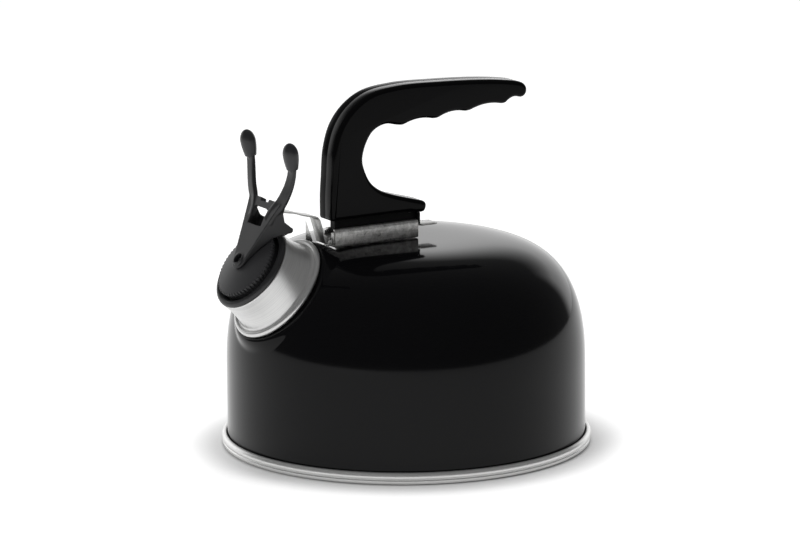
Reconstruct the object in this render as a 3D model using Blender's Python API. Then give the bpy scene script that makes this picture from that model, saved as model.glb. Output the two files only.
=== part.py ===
"""Whistling camp kettle: an enamelled sheet body without a lid, filled and poured through a
bright spout neck. The neck carries a whistle flap on a hinge, opened with a finger fork, and
a moulded D handle slides in a channel riveted to the dome, held by a leaf spring.

Metres, +Z up. The origin is the centre of the flat underside, the spout points to -X and the
open side of the handle to +X.
"""
import math

import bmesh
import bpy
import numpy as np
from mathutils import Matrix, Vector

MM = 0.001

# Clearances
GAP = 0.3 * MM            # between pieces that touch on the real kettle
SLIDE_GAP = 0.3 * MM      # handle rail in its channel

# Body, pressed from sheet
WALL_RADIUS = 80.0 * MM
SHOULDER_Z = 36.0 * MM    # the straight wall ends here and the dome starts
CROWN_Z = 92.6 * MM
DOME_RADIAL_POWER = 4.7
DOME_HEIGHT_POWER = 2.43
SHEET = 0.9 * MM
WALL_FOOT_Z = 3.2 * MM

# Base pan, rolled round the foot of the wall
BEAD_ROLL = 2.5 * MM             # of the bead past the wall
BEAD_RADIUS = WALL_RADIUS + BEAD_ROLL
BEAD_HEIGHT = 5.8 * MM
PAN_SHEET = 1.0 * MM
PAN_UPSTAND = 7.0 * MM
PAN_STEP = 1.9 * MM

# Spout neck. Distances along it are measured from the plane of the flange.
SPOUT_TILT = math.radians(39.5)    # of the neck's axis above the horizontal
SPOUT_DROP = 4.3 * MM              # flange plane below the dome's tangent plane
SPOUT_SHIFT = 1.56 * MM            # neck axis above the touching point
NECK_MOUTH_RADIUS = 20.2 * MM
NECK_FLARE = 1.9 * MM              # of the neck's foot past its mouth
NECK_BASE_RADIUS = NECK_MOUTH_RADIUS + NECK_FLARE
FLANGE_BEAD = 1.4 * MM             # radius of the rolled bead
FLANGE_REACH = 3.1 * MM            # of the bead past the neck's foot
FLANGE_RADIUS = NECK_BASE_RADIUS + FLANGE_REACH
NECK_LENGTH = 16.4 * MM
NECK_SHEET = 1.2 * MM
NECK_TAIL = 5.1 * MM               # below the flange plane, inside the body
SWAGE = 1.4 * MM
SEAT_DEPTH = 1.1 * MM              # flat of the body below the flange plane
CLAMP_THICK = 1.4 * MM
CLAMP_WIDTH = 3.0 * MM
GASKET_WIDTH = 1.5 * MM

# Whistle collar, flap and hinge
COLLAR_FRONT = 2.5 * MM            # beyond the end of the neck
COLLAR_WALL = 3.4 * MM
COLLAR_BORE = NECK_MOUTH_RADIUS - COLLAR_WALL
COLLAR_LIP = COLLAR_BORE + 1.0 * MM
COLLAR_SKIRT = 6.5 * MM
COLLAR_SEAL_WIDTH = 2.0 * MM
COLLAR_SEAL_THICK = 1.5 * MM
COVER_MARGIN = 0.3 * MM            # of the disc past the collar's bore
COVER_RADIUS = COLLAR_BORE + COVER_MARGIN
COVER_LIFT = 4.5 * MM              # of the rim's front edge past the end of the neck
COVER_RIM = NECK_LENGTH + COVER_LIFT   # distance of the rim's front edge from the flange plane
COVER_CROWN = 2.4 * MM             # height of the dome of the cover
COVER_SHEET = 1.8 * MM
COVER_SIDES = 56
COVER_PLUG_LENGTH = 3.2 * MM
COVER_PLUG_WALL = 1.6 * MM
WHISTLE_HOLE = 2.0 * MM
PLATE_THICK = 0.6 * MM
SEAL_WIDTH = 1.6 * MM
SEAL_THICK = 1.0 * MM
HINGE_LIFT = 1.7 * MM              # of the hinge over the neck's mouth
HINGE_AHEAD = 1.1 * MM             # of the hinge past the end of the neck
HINGE_RISE = NECK_MOUTH_RADIUS + HINGE_LIFT
HINGE_ALONG = NECK_LENGTH + HINGE_AHEAD
PIN_RADIUS = 1.1 * MM
LUG_RADIUS = 2.7 * MM
LUG_HALF_WIDTH = 6.4 * MM

# Fork lever on the cover
LEVER_LEAN = math.radians(28.6)    # of the plate from the vertical
LEVER_LENGTH = 28.8 * MM           # from the centre hole to the crotch
LEVER_WALL = 1.5 * MM
LEVER_FOOT = 4.5 * MM              # half width at the centre hole
LEVER_SHOULDER = 8.4 * MM          # half width halfway up
LEVER_CROTCH = 12.6 * MM           # half width at the crotch
LEVER_DEPTH = 5.6 * MM             # of its side walls at the crotch
WINDOW_WIDTH = 10.6 * MM
WINDOW_LOW = 15.9 * MM             # along the plate from the centre hole
WINDOW_HIGH = 25.2 * MM
NOTCH_DEPTH = 1.6 * MM             # in the bar between the prongs
NOTCH_HALF_WIDTH = 3.0 * MM
LEVER_REACH = 26.0 * MM            # of the cutters behind the plate's front
PRONG_WIDTH = 5.4 * MM
PRONG_DEPTH = 3.4 * MM
TIP_SPREAD = 19.0 * MM             # of the tips' centres from the middle plane
TIP_Z = 139.4 * MM
TIP_HALF_HEIGHT = 5.8 * MM
TIP_RADIUS = 3.6 * MM
PEG_RADIUS = 1.3 * MM
PEG_LENGTH = 4.0 * MM

# Handle channel on the dome
BRACKET_INSET = 42.0 * MM          # of its left end from the wall
BRACKET_LENGTH = 42.2 * MM
BRACKET_LEFT = BRACKET_INSET - WALL_RADIUS
BRACKET_RIGHT = BRACKET_LEFT + BRACKET_LENGTH
BRACKET_HALF_WIDTH = 4.6 * MM
BRACKET_HEIGHT = 8.0 * MM
BRACKET_SHEET = 0.8 * MM
SLOT_HALF_WIDTH = 2.3 * MM
LINER_SHEET = 0.5 * MM
EAR_THICK = 0.8 * MM
RIVET_STATIONS = (BRACKET_LEFT + 8.0 * MM, BRACKET_LEFT + 22.0 * MM)
RIVET_RADIUS = 1.2 * MM
RIVET_HEAD_RADIUS = 2.2 * MM
RIVET_HEAD = 0.6 * MM
BACKING_MARGIN = 4.0 * MM          # of the backing plate past the rivets
BACKING_HALF_WIDTH = 7.0 * MM
BACKING_THICK = 1.2 * MM

# Leaf spring under the rail
LEAF_THICK = 0.6 * MM
LEAF_HALF_WIDTH = 2.6 * MM
TONGUE_HALF_WIDTH = 4.2 * MM
TONGUE_REACH = 10.3 * MM           # past the right end of the channel

# Handle
GRIP_LENGTH = 101.2 * MM
GRIP_DRAWN = 101.2                 # length of the grip as its outline is drawn
GRIP_OVERHANG = 2.6 * MM           # past the left end of the channel
GRIP_THICK = 12.4 * MM
SCALLOP_RISE = 1.8 * MM
GRIP_EDGE = 1.5 * MM
GRIP_CLEARANCE = 4.1 * MM          # grip above the channel
RAIL_HEAD = 1.1 * MM
RAIL_STOP = 1.0 * MM
STOP_HALF_WIDTH = 4.0 * MM
TAIL_DIP = 0.7 * MM                # of the grip's tail below its floor
TAIL_CUT = 3.6 * MM                # of the rail under the grip's tail
SCREW_STATIONS = (BRACKET_LEFT + 7.0 * MM, BRACKET_LEFT + 30.0 * MM)
SCREW_RADIUS = 0.9 * MM
SCREW_HEAD_RADIUS = 1.6 * MM
SCREW_HEAD = 0.6 * MM
SCREW_LENGTH = 12.0 * MM

for scene_object in list(bpy.data.objects):
    bpy.data.objects.remove(scene_object, do_unlink=True)


def material(name, colour, roughness, metallic):
    """A Principled material with the colour, gloss and metallic value of the real piece."""
    result = bpy.data.materials.new(name)
    result.use_nodes = True
    shader = result.node_tree.nodes["Principled BSDF"]
    shader.inputs["Base Color"].default_value = (*colour, 1.0)
    shader.inputs["Roughness"].default_value = roughness
    shader.inputs["Metallic"].default_value = metallic
    return result


ENAMEL = material("enamel", (0.012, 0.012, 0.013), 0.12, 0.0)
BRIGHT = material("bright_steel", (0.62, 0.61, 0.59), 0.25, 1.0)
SHEET_STEEL = material("sheet_steel", (0.50, 0.49, 0.47), 0.38, 1.0)
MATTE_BLACK = material("matte_black", (0.035, 0.035, 0.038), 0.55, 0.0)
GLOSS_BLACK = material("gloss_black", (0.010, 0.010, 0.011), 0.2, 0.0)
RUBBER = material("rubber", (0.02, 0.02, 0.02), 0.8, 0.0)


def add_object(name, points, faces, finish, place=None, parent=None):
    """A mesh object from world points. place is its own frame, which its origin takes."""
    place = place or Matrix.Identity(4)
    inverse = place.inverted()
    mesh = bpy.data.meshes.new(name)
    mesh.from_pydata([inverse @ Vector(point) for point in points], [], faces)
    mesh.materials.append(finish)
    shape = bmesh.new()
    shape.from_mesh(mesh)
    bmesh.ops.recalc_face_normals(shape, faces=shape.faces)
    many_sided = [face for face in shape.faces if len(face.verts) > 4]
    bmesh.ops.triangulate(shape, faces=many_sided, ngon_method="EAR_CLIP")
    shape.to_mesh(mesh)
    shape.free()
    mesh.shade_smooth()
    mesh.set_sharp_from_angle(angle=math.radians(30))
    result = bpy.data.objects.new(name, mesh)
    bpy.context.scene.collection.objects.link(result)
    result.matrix_world = place
    if parent:
        result.parent = parent
        result.matrix_parent_inverse = parent.matrix_world.inverted()
    return result


def turned(name, profile, sides, finish, axis=None, phase=0.0, **more):
    """A closed outline of (radius, height) points turned about an axis frame's Z.

    phase turns the first side by a share of one side, so that two round pieces don't share edges.
    """
    axis = axis or Matrix.Identity(4)
    points, rings = [], []
    for radius, height in profile:
        if radius < 1e-7:
            rings.append([len(points)] * sides)
            points.append(axis @ Vector((0, 0, height)))
            continue
        rings.append(list(range(len(points), len(points) + sides)))
        for side in range(sides):
            angle = 2 * math.pi * (side + phase) / sides
            points.append(axis @ Vector((radius * math.cos(angle), radius * math.sin(angle), height)))
    faces = []
    for first, second in zip(rings, rings[1:] + rings[:1]):
        for side in range(sides):
            corners = [first[side], first[side - 1], second[side - 1], second[side]]
            corners = list(dict.fromkeys(corners))
            if len(corners) > 2:
                faces.append(corners)
    return add_object(name, points, faces, finish, **more)


def prism(name, outline, low, high, finish, frame=None, **more):
    """A closed outline of (x, z) points in a frame, extruded from low to high along its Y."""
    frame = frame or Matrix.Identity(4)
    count = len(outline)
    points = [frame @ Vector((x, depth, z)) for depth in (low, high) for x, z in outline]
    faces = [list(range(count)), list(range(2 * count - 1, count - 1, -1))]
    for start in range(count):
        end = (start + 1) % count
        faces.append([end, start, start + count, end + count])
    return add_object(name, points, faces, finish, **more)


def block(name, low, high, finish, **more):
    """A plain block between two corners."""
    outline = [(low[0], low[2]), (high[0], low[2]), (high[0], high[2]), (low[0], high[2])]
    return prism(name, outline, low[1], high[1], finish, **more)


def combine(target, operation, *tools):
    """Cut tools from a target, or join them to it, with exact booleans."""
    for tool in tools:
        tool.hide_render = True
        tool.display_type = "WIRE"
        step = target.modifiers.new(tool.name, "BOOLEAN")
        step.operation = operation
        step.solver = "EXACT"
        step.object = tool
    return target


def curve_through(points, steps):
    """A smooth run through its points, a centripetal Catmull-Rom curve."""
    points = [np.array(point, float) for point in points]
    points = [2 * points[0] - points[1]] + points + [2 * points[-1] - points[-2]]
    run = []
    for before, start, end, after in zip(points, points[1:], points[2:], points[3:]):
        knots = [0.0]
        for a, b in ((before, start), (start, end), (end, after)):
            knots.append(knots[-1] + math.sqrt(np.linalg.norm(b - a)))
        for value in np.linspace(knots[1], knots[2], steps, endpoint=False):
            a1 = before + (start - before) * (value - knots[0]) / (knots[1] - knots[0])
            a2 = start + (end - start) * (value - knots[1]) / (knots[2] - knots[1])
            a3 = end + (after - end) * (value - knots[2]) / (knots[3] - knots[2])
            b1 = a1 + (a2 - a1) * (value - knots[0]) / (knots[2] - knots[0])
            b2 = a2 + (a3 - a2) * (value - knots[1]) / (knots[3] - knots[1])
            run.append(b1 + (b2 - b1) * (value - knots[1]) / (knots[2] - knots[1]))
    run.append(points[-2])
    return [tuple(float(number) for number in point) for point in run]


def arc(centre, radius, start, end, steps):
    """Points on a circle between two angles in degrees."""
    angles = np.radians(np.linspace(start, end, steps + 1))
    return [(centre[0] + radius * math.cos(a), centre[1] + radius * math.sin(a)) for a in angles]


def inset(outline, distance):
    """A closed anticlockwise outline moved inwards, with mitred corners."""
    result = []
    for before, here, after in zip(outline[-1:] + outline[:-1], outline, outline[1:] + outline[:1]):
        first = Vector((here[0] - before[0], here[1] - before[1])).normalized()
        second = Vector((after[0] - here[0], after[1] - here[1])).normalized()
        normal = Vector((-first.y - second.y, first.x + second.x)).normalized()
        reach = distance / max(0.5, normal.dot(Vector((-first.y, first.x))))
        result.append((here[0] + normal.x * reach, here[1] + normal.y * reach))
    return result


def dome_profile(offset, steps):
    """(radius, height) points of the wall and dome, from the shoulder to the crown.

    The dome is a superellipse: the powers of radius and height over their spans add up to one.
    offset moves the points inwards along the surface normal.
    """
    rise = CROWN_Z - SHOULDER_Z
    points = []
    for angle in np.linspace(0, math.pi / 2, steps + 1):
        cosine = max(math.cos(angle), 0.0)
        radius = WALL_RADIUS * cosine ** (2 / DOME_RADIAL_POWER) if angle < math.pi / 2 else 0.0
        height = SHOULDER_Z + rise * math.sin(angle) ** (2 / DOME_HEIGHT_POWER)
        slope_r = (radius / WALL_RADIUS) ** (DOME_RADIAL_POWER - 1) * DOME_RADIAL_POWER / WALL_RADIUS
        slope_z = ((height - SHOULDER_Z) / rise) ** (DOME_HEIGHT_POWER - 1) * DOME_HEIGHT_POWER / rise
        length = math.hypot(slope_r, slope_z)
        radius = radius - offset * slope_r / length
        points.append((max(radius, 0.0), height - offset * slope_z / length))
    points[-1] = (0.0, CROWN_Z - offset)
    return points


def dome_height(radius, offset=0.0):
    """Height of the dome's surface at a radius, read from its profile."""
    points = dome_profile(offset, 400)
    return float(np.interp(-radius, [-point[0] for point in points], [point[1] for point in points]))


def spout_seat():
    """Where the dome's normal has the spout's tilt, and from there the flange's centre."""
    rise = CROWN_Z - SHOULDER_Z
    low, high = 1e-4, math.pi / 2 - 1e-4
    for _ in range(60):
        middle = (low + high) / 2
        radius = WALL_RADIUS * math.cos(middle) ** (2 / DOME_RADIAL_POWER)
        height = rise * math.sin(middle) ** (2 / DOME_HEIGHT_POWER)
        slope_r = (radius / WALL_RADIUS) ** (DOME_RADIAL_POWER - 1) * DOME_RADIAL_POWER / WALL_RADIUS
        slope_z = (height / rise) ** (DOME_HEIGHT_POWER - 1) * DOME_HEIGHT_POWER / rise
        if math.atan2(slope_z, slope_r) < SPOUT_TILT:
            low = middle
        else:
            high = middle
    return Vector((-radius, 0, SHOULDER_Z + height)) - OUTWARD * SPOUT_DROP + UPWARD * SPOUT_SHIFT


OUTWARD = Vector((-math.cos(SPOUT_TILT), 0, math.sin(SPOUT_TILT)))
UPWARD = Vector((math.sin(SPOUT_TILT), 0, math.cos(SPOUT_TILT)))
FLANGE_CENTRE = spout_seat()


def axis_frame(origin, x_axis, z_axis):
    """A frame with its X and Z along two directions at right angles."""
    y_axis = z_axis.cross(x_axis)
    frame = Matrix((x_axis, y_axis, z_axis)).transposed().to_4x4()
    frame.translation = origin
    return frame


def on_spout(rise, along, across=0.0):
    """A world point from its height over the neck's axis and its distance along it."""
    return FLANGE_CENTRE + UPWARD * rise + OUTWARD * along + Vector((0, across, 0))


SPOUT = axis_frame(FLANGE_CENTRE, UPWARD, OUTWARD)
HINGE = on_spout(HINGE_RISE, HINGE_ALONG)
BRACKET_FLOOR = CROWN_Z + GAP
BRACKET_TOP = BRACKET_FLOOR + BRACKET_HEIGHT


def joint_empty(name, place):
    """An empty on a joint's axis, parent of the pieces that move there."""
    empty = bpy.data.objects.new(name, None)
    empty.matrix_world = Matrix.Translation(place)
    bpy.context.scene.collection.objects.link(empty)
    return empty


FLAP = joint_empty("flap_axis", HINGE)
LINER_FLOOR = BRACKET_FLOOR + BRACKET_SHEET + GAP
LEAF_FOOT = Vector((BRACKET_LEFT - 4.2 * MM, 0, LINER_FLOOR + LINER_SHEET + GAP + LEAF_THICK / 2))
LEAF = joint_empty("leaf_axis", LEAF_FOOT)
HANDLE = joint_empty("handle_axis", Vector((BRACKET_LEFT, 0, BRACKET_TOP)))


def rivet_cutter(name, x, radius, low, high, sides=16):
    """An upright round cutter or shank at a station along the channel."""
    outline = [(0, low), (radius, low), (radius, high), (0, high)]
    return turned(name, outline, sides, BRIGHT, axis=Matrix.Translation((x, 0, 0)))


def body_shell():
    """The pressed body: wall and dome as one sheet, flattened and raised where the neck sits."""
    sides, steps = 64, 14
    outer = [(WALL_RADIUS, WALL_FOOT_Z)] + dome_profile(0.0, steps)
    inner = [(WALL_RADIUS - SHEET, WALL_FOOT_Z - GAP)] + dome_profile(SHEET, steps)
    boss_radius = FLANGE_RADIUS + 0.7 * MM
    boss_depth = 16.0 * MM
    recess_radius = boss_radius + 0.2 * MM
    clear = 30.0 * MM
    shell = turned("body_shell", outer + [(0, WALL_FOOT_Z)], sides, ENAMEL)
    hollow = turned("body_hollow", inner + [(0, WALL_FOOT_Z - GAP)], sides, ENAMEL)
    inner_recess = recess_radius + SHEET
    inner_boss = boss_radius - SHEET
    inner_seat = -SEAT_DEPTH - SHEET
    trim = 2.0 * MM
    foot = -boss_depth - SHEET
    raised = [(0, foot), (inner_boss, foot), (inner_boss, trim), (0, trim)]
    press = [(0, inner_seat), (inner_recess, inner_seat), (inner_recess, clear), (0, clear)]
    boss = [(0, -boss_depth), (boss_radius, -boss_depth), (boss_radius, trim), (0, trim)]
    recess = [(0, -SEAT_DEPTH), (recess_radius, -SEAT_DEPTH), (recess_radius, clear), (0, clear)]
    combine(hollow, "UNION", turned("seat_hollow", raised, 48, ENAMEL, axis=SPOUT, phase=0.31))
    combine(hollow, "DIFFERENCE", turned("seat_press", press, 52, ENAMEL, axis=SPOUT, phase=0.37))
    combine(shell, "UNION", turned("seat_boss", boss, 50, ENAMEL, axis=SPOUT, phase=0.27))
    combine(shell, "DIFFERENCE", turned("seat_recess", recess, 54, ENAMEL, axis=SPOUT, phase=0.42))
    bore_radius = NECK_MOUTH_RADIUS - 0.1 * MM + GAP
    bore = [(0, -clear), (bore_radius, -clear), (bore_radius, clear), (0, clear)]
    combine(shell, "DIFFERENCE", hollow, turned("neck_bore", bore, 46, ENAMEL, axis=SPOUT, phase=0.23))
    for number, x in enumerate(RIVET_STATIONS):
        hole = rivet_cutter(f"body_hole_{number}", x, RIVET_RADIUS + GAP, CROWN_Z - 9 * SHEET,
                            CROWN_Z + SHEET)
        combine(shell, "DIFFERENCE", hole)


def base_pan():
    """Turned pan: flat floor, an upstand inside the wall and a bead rolled round its foot."""
    upstand_outer = WALL_RADIUS - SHEET - GAP
    groove = WALL_RADIUS + GAP
    bead_middle = BEAD_HEIGHT / 2
    bead_width = BEAD_RADIUS - groove
    bead = []
    for angle in np.radians(np.linspace(-75, 90, 7)):
        bead.append((groove + bead_width * math.cos(angle) ** 0.6,
                     bead_middle + bead_middle * math.sin(angle)))
    upstand_inner = upstand_outer - PAN_SHEET
    outline = [(0, 0), (BEAD_RADIUS - 2 * BEAD_ROLL, 0)] + bead[:-1]
    outline += [(groove + GAP, BEAD_HEIGHT), (groove, BEAD_HEIGHT - 0.5 * MM), (groove, WALL_FOOT_Z - GAP),
                (upstand_outer, WALL_FOOT_Z - GAP), (upstand_outer, PAN_UPSTAND),
                (upstand_inner, PAN_UPSTAND), (upstand_inner, PAN_STEP),
                (upstand_inner - PAN_STEP, PAN_SHEET), (0, PAN_SHEET)]
    turned("base_pan", outline, 64, BRIGHT)


def spout_neck():
    """Flared tube with a rolled flange bead, swaged over the clamp ring inside the body."""
    bore = NECK_MOUTH_RADIUS - NECK_SHEET
    tail = NECK_MOUTH_RADIUS - 0.1 * MM
    bead_centre = (FLANGE_RADIUS - FLANGE_BEAD, 0.6 * MM)
    clamp_low = SEAT_DEPTH + SHEET + 2 * GAP + CLAMP_THICK
    swage_low = max(NECK_TAIL, clamp_low + 0.8 * MM)
    outline = [(bore - 0.1 * MM, -swage_low), (tail + SWAGE, -swage_low), (tail + SWAGE, -clamp_low),
               (tail, -clamp_low), (tail, bead_centre[1])]
    outline += arc(bead_centre, FLANGE_BEAD, 180, 360 + 135, 9)
    foot = 2.0 * MM
    for share in (0.0, 0.16, 0.4, 0.7, 1.0):
        flare = (NECK_BASE_RADIUS - NECK_MOUTH_RADIUS) * (1 - share) ** 2.4
        outline.append((NECK_MOUTH_RADIUS + flare, foot + (NECK_LENGTH - foot) * share))
    outline += [(bore, NECK_LENGTH), (bore, NECK_LENGTH / 2)]
    turned("spout_neck", outline, 44, BRIGHT, axis=SPOUT, place=SPOUT)
    gasket_inner = tail + GAP
    gasket_outer = min(gasket_inner + GASKET_WIDTH, FLANGE_RADIUS - 2 * FLANGE_BEAD - GAP)
    gasket = [(gasket_inner, -SEAT_DEPTH + GAP), (gasket_outer, -SEAT_DEPTH + GAP),
              (gasket_outer, bead_centre[1] - GAP), (gasket_inner, bead_centre[1] - GAP)]
    turned("spout_gasket", gasket, 40, RUBBER, axis=SPOUT, place=SPOUT)
    ring_top = -SEAT_DEPTH - SHEET - GAP
    ring_foot = ring_top - CLAMP_THICK
    ring_inner, ring_outer = tail + GAP, tail + GAP + CLAMP_WIDTH
    ring = [(ring_inner, ring_foot), (ring_outer, ring_foot), (ring_outer, ring_top), (ring_inner, ring_top)]
    turned("spout_clamp_ring", ring, 40, SHEET_STEEL, axis=SPOUT, place=SPOUT)


def hinge_bar(name, radius, half_width, finish, sides=16, **more):
    """A round bar across the kettle on the flap's hinge."""
    frame = axis_frame(HINGE, Vector((1, 0, 0)), Vector((0, -1, 0)))
    outline = [(0, -half_width), (radius, -half_width), (radius, half_width), (0, half_width)]
    return turned(name, outline, sides, finish, axis=frame, **more)


def collar_and_pin():
    """Black ring in the neck's mouth with the hinge lug, its seal, and the hinge pin."""
    front = NECK_LENGTH + GAP
    outer = NECK_MOUTH_RADIUS
    skirt = NECK_MOUTH_RADIUS - NECK_SHEET - GAP
    tip = NECK_LENGTH + COLLAR_FRONT
    foot = NECK_LENGTH - COLLAR_SKIRT
    outline = [(COLLAR_BORE, foot), (skirt, foot), (skirt, front), (outer, front), (outer, front + 0.4 * MM),
               (outer - 0.4 * MM, tip - 0.7 * MM),
               (outer - 1.5 * MM, tip), (COLLAR_LIP, tip - 0.3 * MM), (COLLAR_BORE, tip - 1.5 * MM)]
    collar = turned("whistle_collar", outline, 48, MATTE_BLACK, axis=SPOUT, place=SPOUT)
    lug_foot = outer - 1.2 * MM
    lug = arc((HINGE_RISE, HINGE_ALONG), LUG_RADIUS, -40, 130, 8)
    lug_top = min(HINGE_ALONG + 0.6 * LUG_RADIUS, tip - 0.3 * MM)
    lug_back = front + 0.05 * MM
    lug += [(lug_foot, lug_top), (lug_foot, lug_back), (outer + 0.6 * MM, lug_back)]
    lug_frame = axis_frame(FLANGE_CENTRE, UPWARD, OUTWARD)
    lug_block = prism("hinge_lug", lug, -LUG_HALF_WIDTH, LUG_HALF_WIDTH, MATTE_BLACK, frame=lug_frame)
    lug_hole = hinge_bar("lug_hole", PIN_RADIUS + GAP, LUG_HALF_WIDTH + 2 * MM, MATTE_BLACK)
    combine(collar, "UNION", lug_block)
    combine(collar, "DIFFERENCE", lug_hole)
    seal_low = NECK_LENGTH - COLLAR_SKIRT - COLLAR_SEAL_THICK
    seal_high = NECK_LENGTH - COLLAR_SKIRT - GAP
    seal_inner = skirt - COLLAR_SEAL_WIDTH
    seal = [(seal_inner, seal_low), (skirt, seal_low), (skirt, seal_high), (seal_inner, seal_high)]
    turned("collar_seal", seal, 40, RUBBER, axis=SPOUT, place=SPOUT)
    reach = lever_half_width(lever_station(HINGE)) + 0.3 * MM
    hinge_bar("hinge_pin", PIN_RADIUS, reach, BRIGHT, place=Matrix.Translation(HINGE))


def cover_front(share):
    """Distance of the cover's front face from the flange plane, at a share of its radius."""
    return COVER_RIM + COVER_CROWN * (1 - share * share)


def whistle_cover():
    """Domed disc with a centre hole and a plug that fits the collar, with its plate and seal."""
    plug = COLLAR_BORE - GAP - 0.1 * MM
    back = COVER_RIM - COVER_SHEET
    low = back - COVER_PLUG_LENGTH
    plug_inner = plug - COVER_PLUG_WALL
    outline = [(plug_inner, low), (plug, low), (plug, back), (COVER_RADIUS, back), (COVER_RADIUS, COVER_RIM)]
    outline += [(COVER_RADIUS * share, cover_front(share)) for share in (0.9, 0.6, 0.3)]
    outline += [(WHISTLE_HOLE, cover_front(0.15)), (WHISTLE_HOLE, cover_front(0.5) - COVER_SHEET),
                (COVER_RADIUS * 0.6, cover_front(0.6) - COVER_SHEET), (plug_inner, back + 0.2 * MM)]
    hang = {"axis": SPOUT, "place": Matrix.Translation(HINGE), "parent": FLAP}
    turned("whistle_cover", outline, COVER_SIDES, MATTE_BLACK, **hang)
    plate_low = low + PLATE_THICK
    plate_radius = plug_inner - GAP
    plate_high = plate_low + PLATE_THICK
    plate = [(WHISTLE_HOLE, plate_low), (plate_radius, plate_low), (plate_radius, plate_high),
             (WHISTLE_HOLE, plate_high)]
    turned("whistle_plate", plate, 40, SHEET_STEEL, **hang)
    seal_top = low - GAP
    seal_foot = seal_top - SEAL_THICK
    seal_inner = plug - SEAL_WIDTH
    seal = [(seal_inner, seal_foot), (plug, seal_foot), (plug, seal_top), (seal_inner, seal_top)]
    turned("whistle_seal", seal, 40, RUBBER, **hang)


LEVER_UP = Vector((math.sin(LEVER_LEAN), 0, math.cos(LEVER_LEAN)))
LEVER_OUT = Vector((-math.cos(LEVER_LEAN), 0, math.sin(LEVER_LEAN)))
LEVER_ORIGIN = on_spout(0, COVER_RIM + COVER_CROWN + GAP + LEVER_WALL)
LEVER_FRAME = axis_frame(LEVER_ORIGIN, LEVER_UP, LEVER_OUT)


def lever_station(point):
    """How far along the lever's plate a world point lies."""
    return (Vector(point) - LEVER_ORIGIN).dot(LEVER_UP)


def lever_half_width(station):
    """Half width of the plate: a parabola through its widths at the hole, halfway and crotch."""
    share = max(station / LEVER_LENGTH, -0.1)
    foot = LEVER_FOOT * (1 - share) * (1 - 2 * share)
    shoulder = LEVER_SHOULDER * 4 * share * (1 - share)
    return foot + shoulder + LEVER_CROTCH * share * (2 * share - 1)


def rectangle(low, high, half_width):
    """A rectangle in the plate's own plane."""
    return [(low, -half_width), (high, -half_width), (high, half_width), (low, half_width)]


def lever_outline(margin, low, high):
    """Front outline of the plate in its own plane, moved inwards by margin."""
    rows = np.linspace(low, high, 8)
    right = [(station, lever_half_width(station) - margin) for station in rows]
    return right + [(station, -width) for station, width in reversed(right)]


def plate_prism(name, outline, back, front):
    """An outline in the plate's plane, extruded along the plate's normal."""
    count = len(outline)
    points = [LEVER_ORIGIN + LEVER_UP * s + Vector((0, y, 0)) + LEVER_OUT * depth
              for depth in (back, front) for s, y in outline]
    faces = [list(range(count)), list(range(2 * count - 1, count - 1, -1))]
    for start in range(count):
        end = (start + 1) % count
        faces.append([end, start, start + count, end + count])
    return add_object(name, points, faces, MATTE_BLACK)


def prong_path(side):
    """Middle of a prong, from inside the plate's corner up to its tip's lower end."""
    crotch = LEVER_ORIGIN + LEVER_UP * LEVER_LENGTH
    height = TIP_Z - TIP_HALF_HEIGHT - crotch.z
    keys = [(-0.8 * MM, -0.25, -0.17), (0.3 * MM, 0.07, -0.07), (1.5 * MM, 0.41, 0.19),
            (2.2 * MM, 0.63, 0.45), (2.7 * MM, 0.79, 0.745), (2.8 * MM, 0.88, 1.0)]
    start = LEVER_CROTCH - PRONG_WIDTH / 2
    reach = TIP_SPREAD - start
    points = []
    for ahead, out, up in keys:
        points.append((crotch.x + ahead, side * (start + reach * out), crotch.z + height * up))
    return points


def prong_depth(share):
    """Depth of a prong at a share of its length: half as much again at its foot."""
    return PRONG_DEPTH * (1.5 - 0.5 * share)


def prong_tip(side):
    """Centre and upward direction of a tip."""
    path = prong_path(side)
    direction = (Vector(path[-1]) - Vector(path[-2])).normalized()
    return Vector(path[-1]) + direction * (TIP_HALF_HEIGHT + GAP), direction


def swept(name, path, width, depth, finish, sides=12):
    """A rounded bar along a path. width lies across the kettle, depth along the spout."""
    points = []
    count = len(path)
    for index, here in enumerate(path):
        ahead = Vector(path[min(index + 1, count - 1)]) - Vector(path[max(index - 1, 0)])
        front = Vector((-1, 0, 0)) - ahead.normalized() * ahead.normalized().dot(Vector((-1, 0, 0)))
        front.normalize()
        across = ahead.normalized().cross(front)
        for side in range(sides):
            angle = 2 * math.pi * (side + 0.5) / sides
            cosine, sine = math.cos(angle), math.sin(angle)
            a = math.copysign(abs(cosine) ** 0.6, cosine) * width / 2
            b = math.copysign(abs(sine) ** 0.6, sine) * depth(index / (count - 1)) / 2
            points.append(Vector(here) + across * a + front * b)
    faces = [list(range(sides - 1, -1, -1)), list(range((count - 1) * sides, count * sides))]
    for ring in range(count - 1):
        for side in range(sides):
            nxt = (side + 1) % sides
            low, high = ring * sides, (ring + 1) * sides
            faces.append([low + side, low + nxt, high + nxt, high + side])
    return add_object(name, points, faces, finish)


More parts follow.
